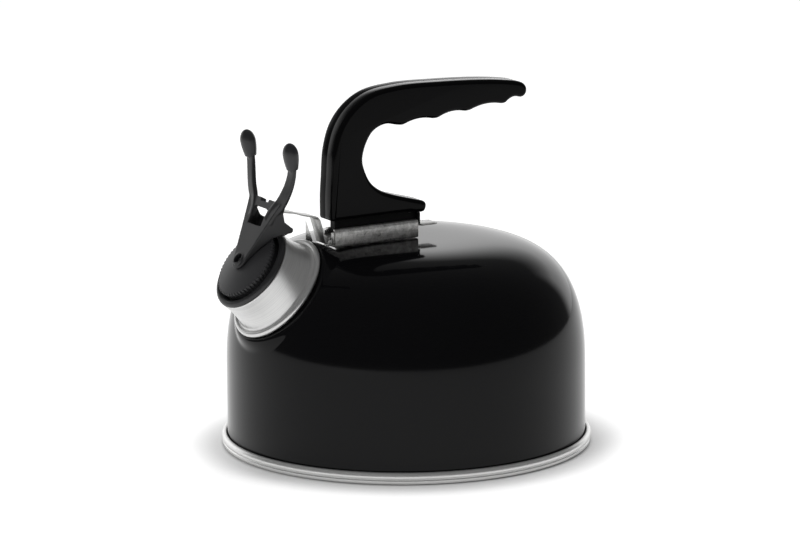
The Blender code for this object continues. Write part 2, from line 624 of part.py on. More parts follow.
def whistle_lever():
    """Fork moulding: a flaring plate with side walls to the hinge, a window and two prongs."""
    hinge_s = lever_station(HINGE)
    hinge_m = (HINGE - LEVER_ORIGIN).dot(LEVER_OUT)
    boss = LUG_RADIUS - 0.1 * MM
    profile = [(-2 * LEVER_FOOT, MM), (-2 * LEVER_FOOT, -8 * MM), (hinge_s - 1.6 * boss, hinge_m + boss)]
    profile += arc((hinge_s, hinge_m), boss, 200, 380, 8)
    profile += [(hinge_s + boss + 1.0 * MM, hinge_m + 2 * boss), (LEVER_LENGTH - 3 * MM, -LEVER_DEPTH),
                (LEVER_LENGTH + 2 * MM, -LEVER_DEPTH + 1.2 * MM), (LEVER_LENGTH + 2 * MM, MM)]
    round_end = arc((0, 0), LEVER_FOOT, 250, 110, 6)
    outline = round_end + lever_outline(0, 0.06 * LEVER_LENGTH, LEVER_LENGTH)
    side = 2 * LEVER_CROTCH
    lever = prism("whistle_lever", profile, -side, side, MATTE_BLACK, frame=LEVER_FRAME)
    combine(lever, "INTERSECT", plate_prism("lever_front", outline, -LEVER_REACH + MM, 0))
    hollow = lever_outline(LEVER_WALL, 0.36 * LEVER_LENGTH, LEVER_LENGTH - LEVER_WALL)
    combine(lever, "DIFFERENCE", plate_prism("lever_hollow", hollow, -LEVER_REACH, -LEVER_WALL))
    window = rectangle(WINDOW_LOW, WINDOW_HIGH, WINDOW_WIDTH / 2)
    combine(lever, "DIFFERENCE", plate_prism("lever_window", window, -LEVER_REACH, MM))
    notch = rectangle(LEVER_LENGTH - NOTCH_DEPTH, LEVER_LENGTH + MM, NOTCH_HALF_WIDTH)
    combine(lever, "DIFFERENCE", plate_prism("lever_notch", notch, -LEVER_REACH, MM))
    reach = NECK_MOUTH_RADIUS + GAP
    dome = [(0, -5 * MM), (reach, -5 * MM), (reach, NECK_LENGTH + COLLAR_FRONT),
            (COVER_RADIUS + GAP, COVER_RIM + GAP)]
    dome += [(COVER_RADIUS * share, cover_front(share) + GAP) for share in np.linspace(0.95, 0.15, 6)]
    dome += [(0, cover_front(0.0) + GAP)]
    combine(lever, "DIFFERENCE", turned("cover_clearance", dome, 50, MATTE_BLACK, axis=SPOUT, phase=0.31))
    hole_radius = WHISTLE_HOLE + 0.1 * MM
    hole = [(0, 0), (hole_radius, 0), (hole_radius, 40 * MM), (0, 40 * MM)]
    combine(lever, "DIFFERENCE", turned("lever_hole", hole, 20, MATTE_BLACK, axis=SPOUT, phase=0.27))
    pin_hole = hinge_bar("lever_pin_hole", PIN_RADIUS + GAP, 30 * MM, MATTE_BLACK, phase=0.3)
    combine(lever, "DIFFERENCE", pin_hole)
    for number, side_sign in enumerate((-1, 1)):
        path = curve_through(prong_path(side_sign), 3)
        combine(lever, "UNION", swept(f"prong_{number}", path, PRONG_WIDTH, prong_depth, MATTE_BLACK))
        direction = prong_tip(side_sign)[1]
        top = Vector(path[-1])
        peg_axis = direction.to_track_quat("Z", "Y").to_matrix().to_4x4()
        peg_axis.translation = top
        peg = [(0, -1 * MM), (PEG_RADIUS, -1 * MM), (PEG_RADIUS, PEG_LENGTH), (0, PEG_LENGTH)]
        combine(lever, "UNION", turned(f"peg_{number}", peg, 12, MATTE_BLACK, axis=peg_axis))
    place_on_hinge(lever)


def place_on_hinge(piece):
    """Give a flap piece its origin on the hinge and hang it on the hinge's empty."""
    piece.data.transform(Matrix.Translation(-HINGE))
    piece.matrix_world = Matrix.Translation(HINGE)
    piece.parent = FLAP
    piece.matrix_parent_inverse = FLAP.matrix_world.inverted()


def lever_tips():
    """Egg-shaped soft tips, pushed on the pegs of the prongs."""
    for name, side in (("lever_tip_left", 1), ("lever_tip_right", -1)):
        centre, direction = prong_tip(side)
        frame = direction.to_track_quat("Z", "Y").to_matrix().to_4x4()
        frame.translation = centre
        outline = [(0, -TIP_HALF_HEIGHT)]
        for angle in np.linspace(-70, 70, 8):
            sine = math.sin(math.radians(angle))
            width = TIP_RADIUS * math.cos(math.radians(angle)) * (1 + 0.10 * sine)
            outline.append((width, TIP_HALF_HEIGHT * sine))
        outline.append((0, TIP_HALF_HEIGHT))
        tip = turned(name, outline, 20, MATTE_BLACK, axis=frame)
        depth = PEG_LENGTH + GAP - TIP_HALF_HEIGHT
        mouth, bore = -2 * TIP_HALF_HEIGHT, PEG_RADIUS + GAP
        socket = [(0, mouth), (bore, mouth), (bore, depth), (0, depth)]
        combine(tip, "DIFFERENCE", turned(f"{name}_socket", socket, 12, MATTE_BLACK, axis=frame))
        place_on_hinge(tip)


def channel_section(half_width, bottom, top, sheet, lip_inner, corner):
    """(y, z) outline of a C channel that is open at the top, with rounded outer corners."""
    outline = [(-lip_inner, top), (-half_width + corner, top)]
    outline += [(-half_width, top - corner), (-half_width, bottom + corner), (-half_width + corner, bottom)]
    outline += [(half_width - corner, bottom), (half_width, bottom + corner), (half_width, top - corner)]
    outline += [(half_width - corner, top), (lip_inner, top), (lip_inner, top - sheet)]
    inner = half_width - sheet
    outline += [(inner, top - sheet), (inner, bottom + sheet), (-inner, bottom + sheet),
                (-inner, top - sheet), (-lip_inner, top - sheet)]
    return outline


def long_prism(name, section, left, right, finish, **more):
    """A (y, z) outline carried along X."""
    frame = axis_frame(Vector((0, 0, 0)), Vector((0, 1, 0)), Vector((0, 0, 1)))
    return prism(name, section, -right, -left, finish, frame=frame, **more)


def handle_bracket():
    """C channel on the dome with its liner, rivets and the backing plate under the dome."""
    section = channel_section(BRACKET_HALF_WIDTH, BRACKET_FLOOR, BRACKET_TOP, BRACKET_SHEET,
                              SLOT_HALF_WIDTH, BRACKET_SHEET)
    bracket = long_prism("handle_bracket", section, BRACKET_LEFT, BRACKET_RIGHT, SHEET_STEEL)
    outer = BRACKET_HALF_WIDTH - BRACKET_SHEET - GAP
    floor, top = LINER_FLOOR, BRACKET_TOP - BRACKET_SHEET - 1.33 * GAP
    inner = outer - LINER_SHEET
    liner_section = [(-outer, top), (-outer, floor), (outer, floor), (outer, top), (inner, top),
                     (inner, floor + LINER_SHEET), (-inner, floor + LINER_SHEET), (-inner, top)]
    liner_left = BRACKET_LEFT - 1.4 * MM
    liner = long_prism("bracket_liner", liner_section, liner_left, BRACKET_RIGHT - 0.5 * MM, BRIGHT)
    ear_low = TONGUE_HALF_WIDTH + GAP
    ear_high = ear_low + EAR_THICK
    foot_left = LEAF_FOOT.x - 1.4 * MM
    floor_top = floor + LINER_SHEET
    foot = block("liner_foot", (foot_left, -outer, floor), (liner_left + 2 * MM, outer, floor_top), BRIGHT)
    sole = block("liner_sole", (foot_left, -TONGUE_HALF_WIDTH, floor),
                 (liner_left - 0.6 * MM, ear_high, floor_top), BRIGHT)
    ear_outline = [(liner_left - 0.8 * MM, floor + 0.1 * MM), (foot_left - 0.1 * MM, floor + 0.1 * MM),
                   (foot_left - 3.6 * MM, floor + 2.2 * MM), (foot_left - 3.6 * MM, floor + 8.5 * MM)]
    ear = prism("liner_ear", ear_outline, ear_low, ear_high, BRIGHT)
    combine(liner, "UNION", foot, sole, ear)
    backing_top = min(dome_height(abs(x) + BACKING_MARGIN, SHEET) for x in RIVET_STATIONS) - GAP - 0.1 * MM
    left, right = min(RIVET_STATIONS) - BACKING_MARGIN, max(RIVET_STATIONS) + BACKING_MARGIN
    plate = block("bracket_backing_plate", (left, -BACKING_HALF_WIDTH, backing_top - BACKING_THICK),
                  (right, BACKING_HALF_WIDTH, backing_top), SHEET_STEEL)
    head = floor + LINER_SHEET + GAP
    foot_z = backing_top - BACKING_THICK - GAP
    for number, x in enumerate(RIVET_STATIONS):
        for target in (bracket, liner, plate):
            hole = rivet_cutter(f"{target.name}_hole_{number}", x, RIVET_RADIUS + GAP, foot_z - MM,
                                head + MM)
            combine(target, "DIFFERENCE", hole)
        outline = [(0, foot_z - RIVET_HEAD), (RIVET_HEAD_RADIUS, foot_z - RIVET_HEAD),
                   (RIVET_HEAD_RADIUS, foot_z), (RIVET_RADIUS, foot_z), (RIVET_RADIUS, head),
                   (RIVET_HEAD_RADIUS, head),
                   (0.6 * RIVET_HEAD_RADIUS, head + RIVET_HEAD), (0, head + RIVET_HEAD)]
        station = Matrix.Translation((x, 0, 0))
        turned(f"bracket_rivet_{number + 1}", outline, 16, BRIGHT, axis=station, place=station)


def leaf_spring():
    """Bent strip: release tongue at the right, flat run under the rail, foot, leg, left tongue."""
    flat = BRACKET_TOP - BRACKET_SHEET - GAP - RAIL_HEAD - GAP - LEAF_THICK / 2
    foot = LEAF_FOOT
    path = [(BRACKET_RIGHT + TONGUE_REACH, flat, 0.6), (BRACKET_RIGHT + TONGUE_REACH - MM, flat, 1.0),
            (BRACKET_RIGHT + 2.6 * MM, flat, 1.0), (BRACKET_RIGHT + 1.8 * MM, flat, 0.0),
            (foot.x + 3.2 * MM, flat, 0.0),
            (foot.x + 0.4 * MM, foot.z, 0.0), (foot.x - 0.2 * MM, foot.z + 0.1 * MM, 1.0),
            (foot.x - 2.0 * MM, foot.z + 6.0 * MM, 1.0), (foot.x - 3.6 * MM, foot.z + 11.2 * MM, 1.0),
            (foot.x - 4.6 * MM, foot.z + 12.4 * MM, 1.0), (foot.x - 11.7 * MM, foot.z + 14.0 * MM, 1.0),
            (foot.x - 16.0 * MM, foot.z + 15.6 * MM, 1.0), (foot.x - 26.0 * MM, foot.z + 17.3 * MM, 0.8)]
    points = []
    for index, (x, z, share) in enumerate(path):
        before = path[max(index - 1, 0)]
        after = path[min(index + 1, len(path) - 1)]
        first = Vector((x - before[0], z - before[1]))
        second = Vector((after[0] - x, after[1] - z))
        first = first.normalized() if first.length else second.normalized()
        second = second.normalized() if second.length else first
        normal = Vector((first.y + second.y, -first.x - second.x)).normalized()
        reach = LEAF_THICK / 2 / max(0.6, normal.dot(Vector((first.y, -first.x))))
        width = LEAF_HALF_WIDTH + (TONGUE_HALF_WIDTH - LEAF_HALF_WIDTH) * share
        for direction, y in ((-1, -width), (1, -width), (1, width), (-1, width)):
            points.append((x + direction * normal.x * reach, y, z + direction * normal.y * reach))
    faces = [[3, 2, 1, 0], [len(points) - 4 + corner for corner in range(4)]]
    for ring in range(len(path) - 1):
        for corner in range(4):
            nxt = (corner + 1) % 4
            low, high = 4 * ring, 4 * ring + 4
            faces.append([low + corner, low + nxt, high + nxt, high + corner])
    add_object("leaf_spring", points, faces, SHEET_STEEL, place=Matrix.Translation(foot), parent=LEAF)


def grip_outline():
    """Side view of the grip, clockwise from its lower left corner, from the channel's place."""
    left = BRACKET_LEFT - GRIP_OVERHANG
    low = BRACKET_TOP + GRIP_CLEARANCE
    share_length = GRIP_LENGTH / GRIP_DRAWN

    def at(points):
        return [(left + x * share_length, low + z * share_length) for x, z in points]

    outer = curve_through(at([(0, 3.0), (0, 10), (0.6, 19), (1.6, 31), (4.9, 41.4), (11.1, 49.3),
                              (20.8, 55.1), (36, 57.3), (58, 56.9), (76, 55.9), (88.7, 54.6),
                              (97.8, 52.9)]), 3)
    tip = curve_through(at([(100.3, 51.4), (101.2, 49.2), (100.5, 46.9), (98.2, 45.5)]), 2)
    crests = at([(98.2, 45.5), (89.6, 43.5), (70.4, 42.0), (54.1, 40.3), (36.2, 39.0)])
    fingers = []
    steps = 5
    for right, crest in zip(crests, crests[1:]):
        for step in range(1, steps + 1):
            share = step / steps
            x = right[0] + (crest[0] - right[0]) * share
            lift = SCALLOP_RISE * (1 - (2 * share - 1) ** 2) if step < steps else 0.25 * SCALLOP_RISE
            fingers.append((x, right[1] + (crest[1] - right[1]) * share + lift))
    loop = curve_through(at([(33.0, 40.0), (29.1, 40.8), (25.2, 40.1), (21.3, 37.8), (17.9, 32.4),
                             (16.3, 26.0), (17.6, 20.5), (20.5, 15.2), (25.2, 11.4), (31.0, 9.0),
                             (38.0, 6.9), (45.6, 4.8)]), 3)
    tail = at([(47.6, 4.2), (48.5, 3.2), (48.6, 1.6), (47.9, 0.0), (47.2, -0.7)])
    floor = at([(41.6, -0.7), (41.4, 0.0), (0.0, 0.0)])
    return outer + tip + fingers + loop + tail + floor


def handle_grip():
    """Moulded D grip with rounded edges, finger scallops and holes for the rail's screws."""
    outline = list(reversed(grip_outline()))
    half = GRIP_THICK / 2
    layers = [(-half, GRIP_EDGE), (-half + 0.3 * GRIP_EDGE, 0.3 * GRIP_EDGE), (-half + GRIP_EDGE, 0.0)]
    layers += [(-y, margin) for y, margin in reversed(layers)]
    count = len(outline)
    points = []
    for y, margin in layers:
        drawn_in = inset(outline, margin) if margin else outline
        points += [(x, y, z) for x, z in drawn_in]
    faces = [list(range(count)), list(range(len(points) - 1, len(points) - count - 1, -1))]
    for layer in range(len(layers) - 1):
        for start in range(count):
            end = (start + 1) % count
            base = layer * count
            faces.append([base + end, base + start, base + count + start, base + count + end])
    grip = add_object("handle_grip", points, faces, GLOSS_BLACK,
                      place=Matrix.Translation(HANDLE.matrix_world.translation), parent=HANDLE)
    low = BRACKET_TOP + GRIP_CLEARANCE
    head_low = BRACKET_TOP - BRACKET_SHEET - GAP - RAIL_HEAD
    for number, x in enumerate(SCREW_STATIONS):
        hole = rivet_cutter(f"grip_hole_{number}", x, SCREW_RADIUS + GAP, low - MM,
                            head_low + SCREW_LENGTH + MM, 12)
        combine(grip, "DIFFERENCE", hole)


def handle_rail():
    """T rail: its head runs in the channel, its neck passes the slot, a stop closes its right end."""
    head_low = BRACKET_TOP - BRACKET_SHEET - GAP - RAIL_HEAD
    head_top = head_low + RAIL_HEAD
    grip_low = BRACKET_TOP + GRIP_CLEARANCE
    neck_top = grip_low - GAP
    head = BRACKET_HALF_WIDTH - BRACKET_SHEET - GAP - LINER_SHEET - SLIDE_GAP
    neck = SLOT_HALF_WIDTH - SLIDE_GAP - 0.1 * MM
    section = [(-head, head_low), (head, head_low), (head, head_top), (neck, head_top), (neck, neck_top),
               (-neck, neck_top), (-neck, head_top), (-head, head_top)]
    right = BRACKET_RIGHT + GAP
    rail = long_prism("handle_rail", section, BRACKET_LEFT + MM, right, MATTE_BLACK)
    stop_top = grip_low - TAIL_DIP - GAP
    stop = block("rail_stop", (right - 0.2 * MM, -STOP_HALF_WIDTH, head_low + 0.1 * MM),
                 (right + RAIL_STOP, STOP_HALF_WIDTH, stop_top), MATTE_BLACK)
    tail_gap = block("rail_tail_gap", (BRACKET_RIGHT - TAIL_CUT, -2 * STOP_HALF_WIDTH, stop_top),
                     (right + MM, 2 * STOP_HALF_WIDTH, grip_low + MM), MATTE_BLACK)
    combine(rail, "UNION", stop)
    combine(rail, "DIFFERENCE", tail_gap)
    for number, x in enumerate(SCREW_STATIONS):
        combine(rail, "DIFFERENCE",
                rivet_cutter(f"rail_hole_{number}", x, SCREW_RADIUS + GAP, head_low - MM, neck_top + MM, 12),
                rivet_cutter(f"rail_sink_{number}", x, SCREW_HEAD_RADIUS + GAP, head_low - MM,
                             head_low + SCREW_HEAD + GAP, 16))
        seat, point = head_low + SCREW_HEAD, head_low + SCREW_LENGTH
        outline = [(0, head_low), (SCREW_HEAD_RADIUS, head_low), (SCREW_HEAD_RADIUS, seat),
                   (SCREW_RADIUS, seat), (SCREW_RADIUS, point), (0, point)]
        station = Matrix.Translation((x, 0, 0))
        turned(f"handle_screw_{number + 1}", outline, 12, BRIGHT, axis=station, place=station,
               parent=HANDLE)
    rail.parent = HANDLE
    rail.matrix_parent_inverse = HANDLE.matrix_world.inverted()


body_shell()
base_pan()
spout_neck()
collar_and_pin()
whistle_cover()
whistle_lever()
lever_tips()
handle_bracket()
leaf_spring()
handle_grip()
handle_rail()
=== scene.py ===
"""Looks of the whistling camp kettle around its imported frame.

Metres, +Z up, the spout points to -X. Each section makes one piece, in the order of assembly.
"""
import math

import bmesh
import bpy
import numpy as np
from mathutils import Matrix, Vector


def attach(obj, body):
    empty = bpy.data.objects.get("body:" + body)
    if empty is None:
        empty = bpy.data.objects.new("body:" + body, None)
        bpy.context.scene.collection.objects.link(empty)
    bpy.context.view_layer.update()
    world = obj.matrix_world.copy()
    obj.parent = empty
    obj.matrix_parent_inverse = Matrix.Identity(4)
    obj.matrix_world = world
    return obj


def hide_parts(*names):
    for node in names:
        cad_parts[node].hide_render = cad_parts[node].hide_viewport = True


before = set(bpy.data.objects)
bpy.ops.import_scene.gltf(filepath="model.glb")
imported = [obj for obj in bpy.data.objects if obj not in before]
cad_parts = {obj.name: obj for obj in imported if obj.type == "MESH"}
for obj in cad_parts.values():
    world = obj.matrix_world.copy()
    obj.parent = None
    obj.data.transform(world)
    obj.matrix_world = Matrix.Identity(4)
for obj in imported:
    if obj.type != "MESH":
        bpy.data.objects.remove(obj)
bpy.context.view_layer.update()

MM = 0.001

# Camera. It stands 2.4 m off, left of the front and 14 degrees up, with a long lens. It is aimed
# so that the kettle takes its place in the 800 x 533 frame, and rolled by a fraction of a degree.
CAMERA_AZIMUTH = math.radians(-30.5)
CAMERA_ELEVATION = math.radians(14.15)
CAMERA_ROLL = math.radians(-0.42)
CAMERA_DISTANCE = 2.4
FOCAL_PIXELS = 5360.0
IMAGE_WIDTH, IMAGE_HEIGHT = 800, 533
ORIGIN_AT = (406.5, 439.6)

to_camera = Vector((math.sin(CAMERA_AZIMUTH) * math.cos(CAMERA_ELEVATION),
                    -math.cos(CAMERA_AZIMUTH) * math.cos(CAMERA_ELEVATION),
                    math.sin(CAMERA_ELEVATION)))
level_right = (-to_camera).cross(Vector((0, 0, 1))).normalized()
level_up = level_right.cross(-to_camera)
rolled_right = level_right * math.cos(CAMERA_ROLL) + level_up * math.sin(CAMERA_ROLL)
rolled_up = level_up * math.cos(CAMERA_ROLL) - level_right * math.sin(CAMERA_ROLL)
shift_right = (ORIGIN_AT[0] - IMAGE_WIDTH / 2) / FOCAL_PIXELS
shift_up = -(ORIGIN_AT[1] - IMAGE_HEIGHT / 2) / FOCAL_PIXELS
aim = (-to_camera - rolled_right * shift_right - rolled_up * shift_up).normalized()
camera_right = (rolled_right - aim * rolled_right.dot(aim)).normalized()
camera_up = camera_right.cross(aim)
camera = bpy.data.objects.new("camera", bpy.data.cameras.new("camera"))
camera.data.sensor_fit = "HORIZONTAL"
camera.data.lens = FOCAL_PIXELS / IMAGE_WIDTH * camera.data.sensor_width
camera.matrix_world = Matrix((camera_right, camera_up, -aim)).transposed().to_4x4()
camera.matrix_world.translation = to_camera * CAMERA_DISTANCE
bpy.context.scene.collection.objects.link(camera)
bpy.context.scene.camera = camera
bpy.context.scene.view_settings.view_transform = "Standard"

# Floor and studio. A pale round floor that shows white with the kettle's soft shadow from the lamps
# and a painted shade round its foot, where ambient occlusion dims the floor's glow, a world that is
# white to the camera and a dim room with a bright back to the gloss, and soft lamps.
FLOOR_RADIUS, FLOOR_SIDES = 2.2, 128
FLOOR_COLOUR = (0.80, 0.80, 0.80, 1.0)
FLOOR_LIFT = 0.66               # glow of the floor, for the rays that show the background
PAINTED_SHADE_REACH = 22.0 * MM       # of the painted shade round the foot, where occlusion dims the floor's glow
PAINTED_SHADE_POWER = 2.6
ROOM_GREY = 0.16                # of the light that the room scatters on the kettle
BACK_BRIGHT = 1.75              # of a soft window at the back, which gloss alone sees
UPPER_GREY = 0.15               # what gloss sees of the rest of the room
LAMPS = (("lamp_overhead", (0.25, 0.45, 1.5), 1.1, 11.0),      # name, place, size and power
         ("lamp_left", (-1.5, -0.7, 0.9), 0.9, 9.0),
         ("lamp_right", (1.3, -1.2, 0.9), 0.9, 3.0))


def add_node(tree, kind, inputs=None, **settings):
    """A node with its settings and inputs. An input is a value, or an output to link from."""
    made = tree.nodes.new(kind)
    for name, value in settings.items():
        setattr(made, name, value)
    for name, value in (inputs or {}).items():
        if isinstance(value, bpy.types.NodeSocket):
            tree.links.new(value, made.inputs[name])
        else:
            made.inputs[name].default_value = value
    return made


def math_node(tree, operation, first, second=0.0, clamp=False):
    """The output of a Math node."""
    return add_node(tree, "ShaderNodeMath", {0: first, 1: second}, operation=operation,
                    use_clamp=clamp).outputs[0]


def seen_ray(tree):
    """1 for the rays that show the background: those of the camera, of gloss and of glass."""
    path = add_node(tree, "ShaderNodeLightPath").outputs
    gloss = math_node(tree, "MAXIMUM", path["Is Glossy Ray"], path["Is Transmission Ray"])
    return math_node(tree, "MAXIMUM", path["Is Camera Ray"], gloss)


around = np.linspace(0, 2 * math.pi, FLOOR_SIDES, endpoint=False)
floor_edge = [(FLOOR_RADIUS * math.cos(turn), FLOOR_RADIUS * math.sin(turn), 0.0) for turn in around]
floor_mesh = bpy.data.meshes.new("floor")
floor_mesh.from_pydata(floor_edge, [], [list(range(FLOOR_SIDES))])
floor = bpy.data.objects.new("floor", floor_mesh)
bpy.context.scene.collection.objects.link(floor)
floor_paint = bpy.data.materials.new("floor_paint")
floor_paint.use_nodes = True
tree = floor_paint.node_tree
tree.nodes.clear()
matt = add_node(tree, "ShaderNodeBsdfDiffuse", {"Color": FLOOR_COLOUR})
# Painted shade: ambient occlusion dims the floor's glow near the kettle, a dark line round the foot.
painted_shade_occlusion = add_node(tree, "ShaderNodeAmbientOcclusion", {"Distance": PAINTED_SHADE_REACH}, samples=12)
glow_share_past_painted_shade = math_node(tree, "POWER", painted_shade_occlusion.outputs["AO"], PAINTED_SHADE_POWER)
lift = math_node(tree, "MULTIPLY", seen_ray(tree), math_node(tree, "MULTIPLY", glow_share_past_painted_shade, FLOOR_LIFT))
glow = add_node(tree, "ShaderNodeEmission", {"Strength": lift})
both = add_node(tree, "ShaderNodeAddShader", {0: matt.outputs[0], 1: glow.outputs[0]})
add_node(tree, "ShaderNodeOutputMaterial", {"Surface": both.outputs[0]})
floor_mesh.materials.append(floor_paint)

studio = bpy.data.worlds.new("studio")
studio.use_nodes = True
bpy.context.scene.world = studio
tree = studio.node_tree
tree.nodes.clear()
direction = add_node(tree, "ShaderNodeTexCoord").outputs["Generated"]
parts = add_node(tree, "ShaderNodeSeparateXYZ", {0: direction}).outputs
way = math_node(tree, "ARCTAN2", parts["X"], parts["Y"])


def gloss_window(middle, half, edge, low, high, power, strength):
    """A bright part of the room: soft at its sides, and fading with height by a power."""
    off = math_node(tree, "ABSOLUTE", math_node(tree, "SUBTRACT", way, math.radians(middle)))
    across = add_node(tree, "ShaderNodeMapRange", {
        "Value": off, "From Min": math.radians(half), "From Max": math.radians(half + edge),
        "To Min": 1.0, "To Max": 0.0}, interpolation_type="SMOOTHSTEP").outputs[0]
    upwards = add_node(tree, "ShaderNodeMapRange", {
        "Value": parts["Z"], "From Min": low, "From Max": high, "To Min": 1.0, "To Max": 0.0}).outputs[0]
    faded = math_node(tree, "MULTIPLY", math_node(tree, "POWER", upwards, power), strength)
    return math_node(tree, "MULTIPLY", across, faded)


window_light = gloss_window(middle=22, half=44, edge=14, low=0.27, high=0.56, power=1.2, strength=BACK_BRIGHT)
gloss_light = math_node(tree, "MAXIMUM", window_light, UPPER_GREY)
path = add_node(tree, "ShaderNodeLightPath").outputs
diffuse = math_node(tree, "MULTIPLY", path["Is Diffuse Ray"], ROOM_GREY)
glossy = math_node(tree, "MULTIPLY", gloss_light, path["Is Glossy Ray"])
seen = math_node(tree, "MAXIMUM", path["Is Camera Ray"], path["Is Transmission Ray"])
strength = math_node(tree, "MAXIMUM", math_node(tree, "ADD", glossy, diffuse), seen)
light = add_node(tree, "ShaderNodeBackground", {"Strength": strength})
add_node(tree, "ShaderNodeOutputWorld", {"Surface": light.outputs[0]})

for name, place, size, power in LAMPS:
    lamp = bpy.data.lights.new(name, "AREA")
    lamp.shape, lamp.size, lamp.energy = "DISK", size, power
    stand = bpy.data.objects.new(name, lamp)
    stand.matrix_world = Vector(place).to_track_quat("Z", "Y").to_matrix().to_4x4()
    stand.matrix_world.translation = place
    stand.visible_glossy = stand.visible_camera = False
    bpy.context.scene.collection.objects.link(stand)

# Body shell. One sheet of steel pressed into a wall and a dome, enamelled glossy black all over,
# with a raised flat seat for the neck. Neck, bracket and base pan are fixed to it.
WALL_RADIUS = 80.0 * MM
SHOULDER_Z = 36.0 * MM
CROWN_Z = 92.6 * MM
FOOT_Z = 3.2 * MM
RADIAL_POWER, HEIGHT_POWER = 4.7, 2.43
SHEET = 0.9 * MM
FLANGE_CENTRE = Vector((-64.904 * MM, 0, 76.801 * MM))
SPOUT_TILT = math.radians(39.5)
SPOUT_OUT = Vector((-math.cos(SPOUT_TILT), 0, math.sin(SPOUT_TILT)))
SPOUT_UP = Vector((math.sin(SPOUT_TILT), 0, math.cos(SPOUT_TILT)))
SEAT_LOW = -1.1 * MM            # of the seat, along the neck from the flange's plane
SEAT_RADIUS = 25.4 * MM
SEAT_FILLET = 4.6 * MM          # over which the seat blends into the dome
BORE = 20.4 * MM
FAR_SIDE = -40 * MM             # below this, along the neck, lies the kettle's other side
CROWDED = 44                    # degrees to each side of the neck where columns crowd
SHELL_SHARP = 60


def axis_frame(origin, x_axis, z_axis):
    """A frame with its X and Z along two directions at right angles."""
    frame_matrix = Matrix((x_axis, z_axis.cross(x_axis), z_axis)).transposed().to_4x4()
    frame_matrix.translation = origin
    return frame_matrix


def carried_into(place, points):
    """Points, an array whose last axis is (x, y, z), moved by a frame's matrix."""
    matrix = np.array(place)
    return points @ matrix[:3, :3].T + matrix[:3, 3]


def smooth_step(values, start, end):
    """0 before start, 1 after end, and the cubic 3t^2 - 2t^3 between them."""
    share = np.clip((values - start) / (end - start), 0, 1)
    return share * share * (3 - 2 * share)


def grid_quads(rows, columns, tube=False):
    """Corner numbers of the faces of a grid whose rows are rings. tube joins its last row to the first."""
    row = np.arange(rows if tube else rows - 1)[:, None]
    column = np.arange(columns)[None, :]
    below, beside = (row + 1) % rows, (column + 1) % columns
    corners = [row * columns + column, row * columns + beside,
               below * columns + beside, below * columns + column]
    return np.stack(corners, -1).reshape(-1, 4)


def shaded(piece, sharp):
    """Smooth shading, with sharp edges where faces meet at more than an angle."""
    piece.data.shade_smooth()
    piece.data.set_sharp_from_angle(angle=math.radians(sharp))


def make_piece(name, points, faces, sharp=35.0, caps=()):
    """An object from an array of points and faces, merged at poles and turned outwards."""
    mesh = bpy.data.meshes.new(name)
    mesh.from_pydata(points.reshape(-1, 3).tolist(), [], faces.tolist() + [list(cap) for cap in caps])
    shape = bmesh.new()
    shape.from_mesh(mesh)
    bmesh.ops.remove_doubles(shape, verts=shape.verts, dist=1e-7)
    bmesh.ops.delete(shape, geom=[v for v in shape.verts if not v.link_faces], context="VERTS")
    bmesh.ops.recalc_face_normals(shape, faces=shape.faces)
    shape.to_mesh(mesh)
    shape.free()
    piece = bpy.data.objects.new(name, mesh)
    bpy.context.scene.collection.objects.link(piece)
    shaded(piece, sharp)
    return piece


def paint(thing, material):
    """One material all over, in place of any other."""
    thing.data.materials.clear()
    thing.data.materials.append(material)


def applied(piece):
    """The piece with its modifiers worked into its mesh."""
    bpy.context.view_layer.update()
    shaped = piece.evaluated_get(bpy.context.evaluated_depsgraph_get())
    mesh = bpy.data.meshes.new_from_object(shaped)
    piece.modifiers.clear()
    piece.data = mesh
    return piece


def new_material(name, colour, roughness, metallic=0.0, constants=None):
    """A Principled material. The values that are the same all over sit on the shader itself."""
    material = bpy.data.materials.new(name)
    material.use_nodes = True
    shader = material.node_tree.nodes["Principled BSDF"]
    shader.inputs["Base Color"].default_value = (*colour, 1.0)
    shader.inputs["Roughness"].default_value = roughness
    shader.inputs["Metallic"].default_value = metallic
    for label, value in (constants or {}).items():
        shader.inputs[label].default_value = value
    return material, material.node_tree, shader


def new_group(name, numbers, outputs):
    """A node group that takes a vector and some numbers: (tree, its inputs, its outputs)."""
    tree = bpy.data.node_groups.new(name, "ShaderNodeTree")
    tree.interface.new_socket("Vector", in_out="INPUT", socket_type="NodeSocketVector")
    for way, labels in (("INPUT", numbers), ("OUTPUT", outputs)):
        for label in labels:
            tree.interface.new_socket(label, in_out=way, socket_type="NodeSocketFloat")
    return tree, tree.nodes.new("NodeGroupInput").outputs, tree.nodes.new("NodeGroupOutput").inputs


def noise(tree, place, scale, detail, **more):
    """The value of a noise texture. Its other inputs go by their labels."""
    inputs = {"Vector": place, "Scale": scale, "Detail": detail, **more}
    return add_node(tree, "ShaderNodeTexNoise", inputs).outputs[0]


def give_roughness(tree, given, out, texture):
    """Put out the middle roughness plus the drift times what a texture has over one half."""
    swing = math_node(tree, "MULTIPLY", math_node(tree, "SUBTRACT", texture, 0.5), given["Drift"])
    tree.links.new(math_node(tree, "ADD", swing, given["Roughness"], clamp=True), out["Roughness"])


def uneven_surface():
    """Node group: roughness that drifts with a large noise, and the height of a fine grain."""
    tree, given, out = new_group("uneven_surface", ("Patch Scale", "Grain Scale", "Roughness", "Drift"),
                                 ("Roughness", "Height"))
    give_roughness(tree, given, out, noise(tree, given["Vector"], given["Patch Scale"], 5.0))
    tree.links.new(noise(tree, given["Vector"], given["Grain Scale"], 2.0), out["Height"])
    return tree


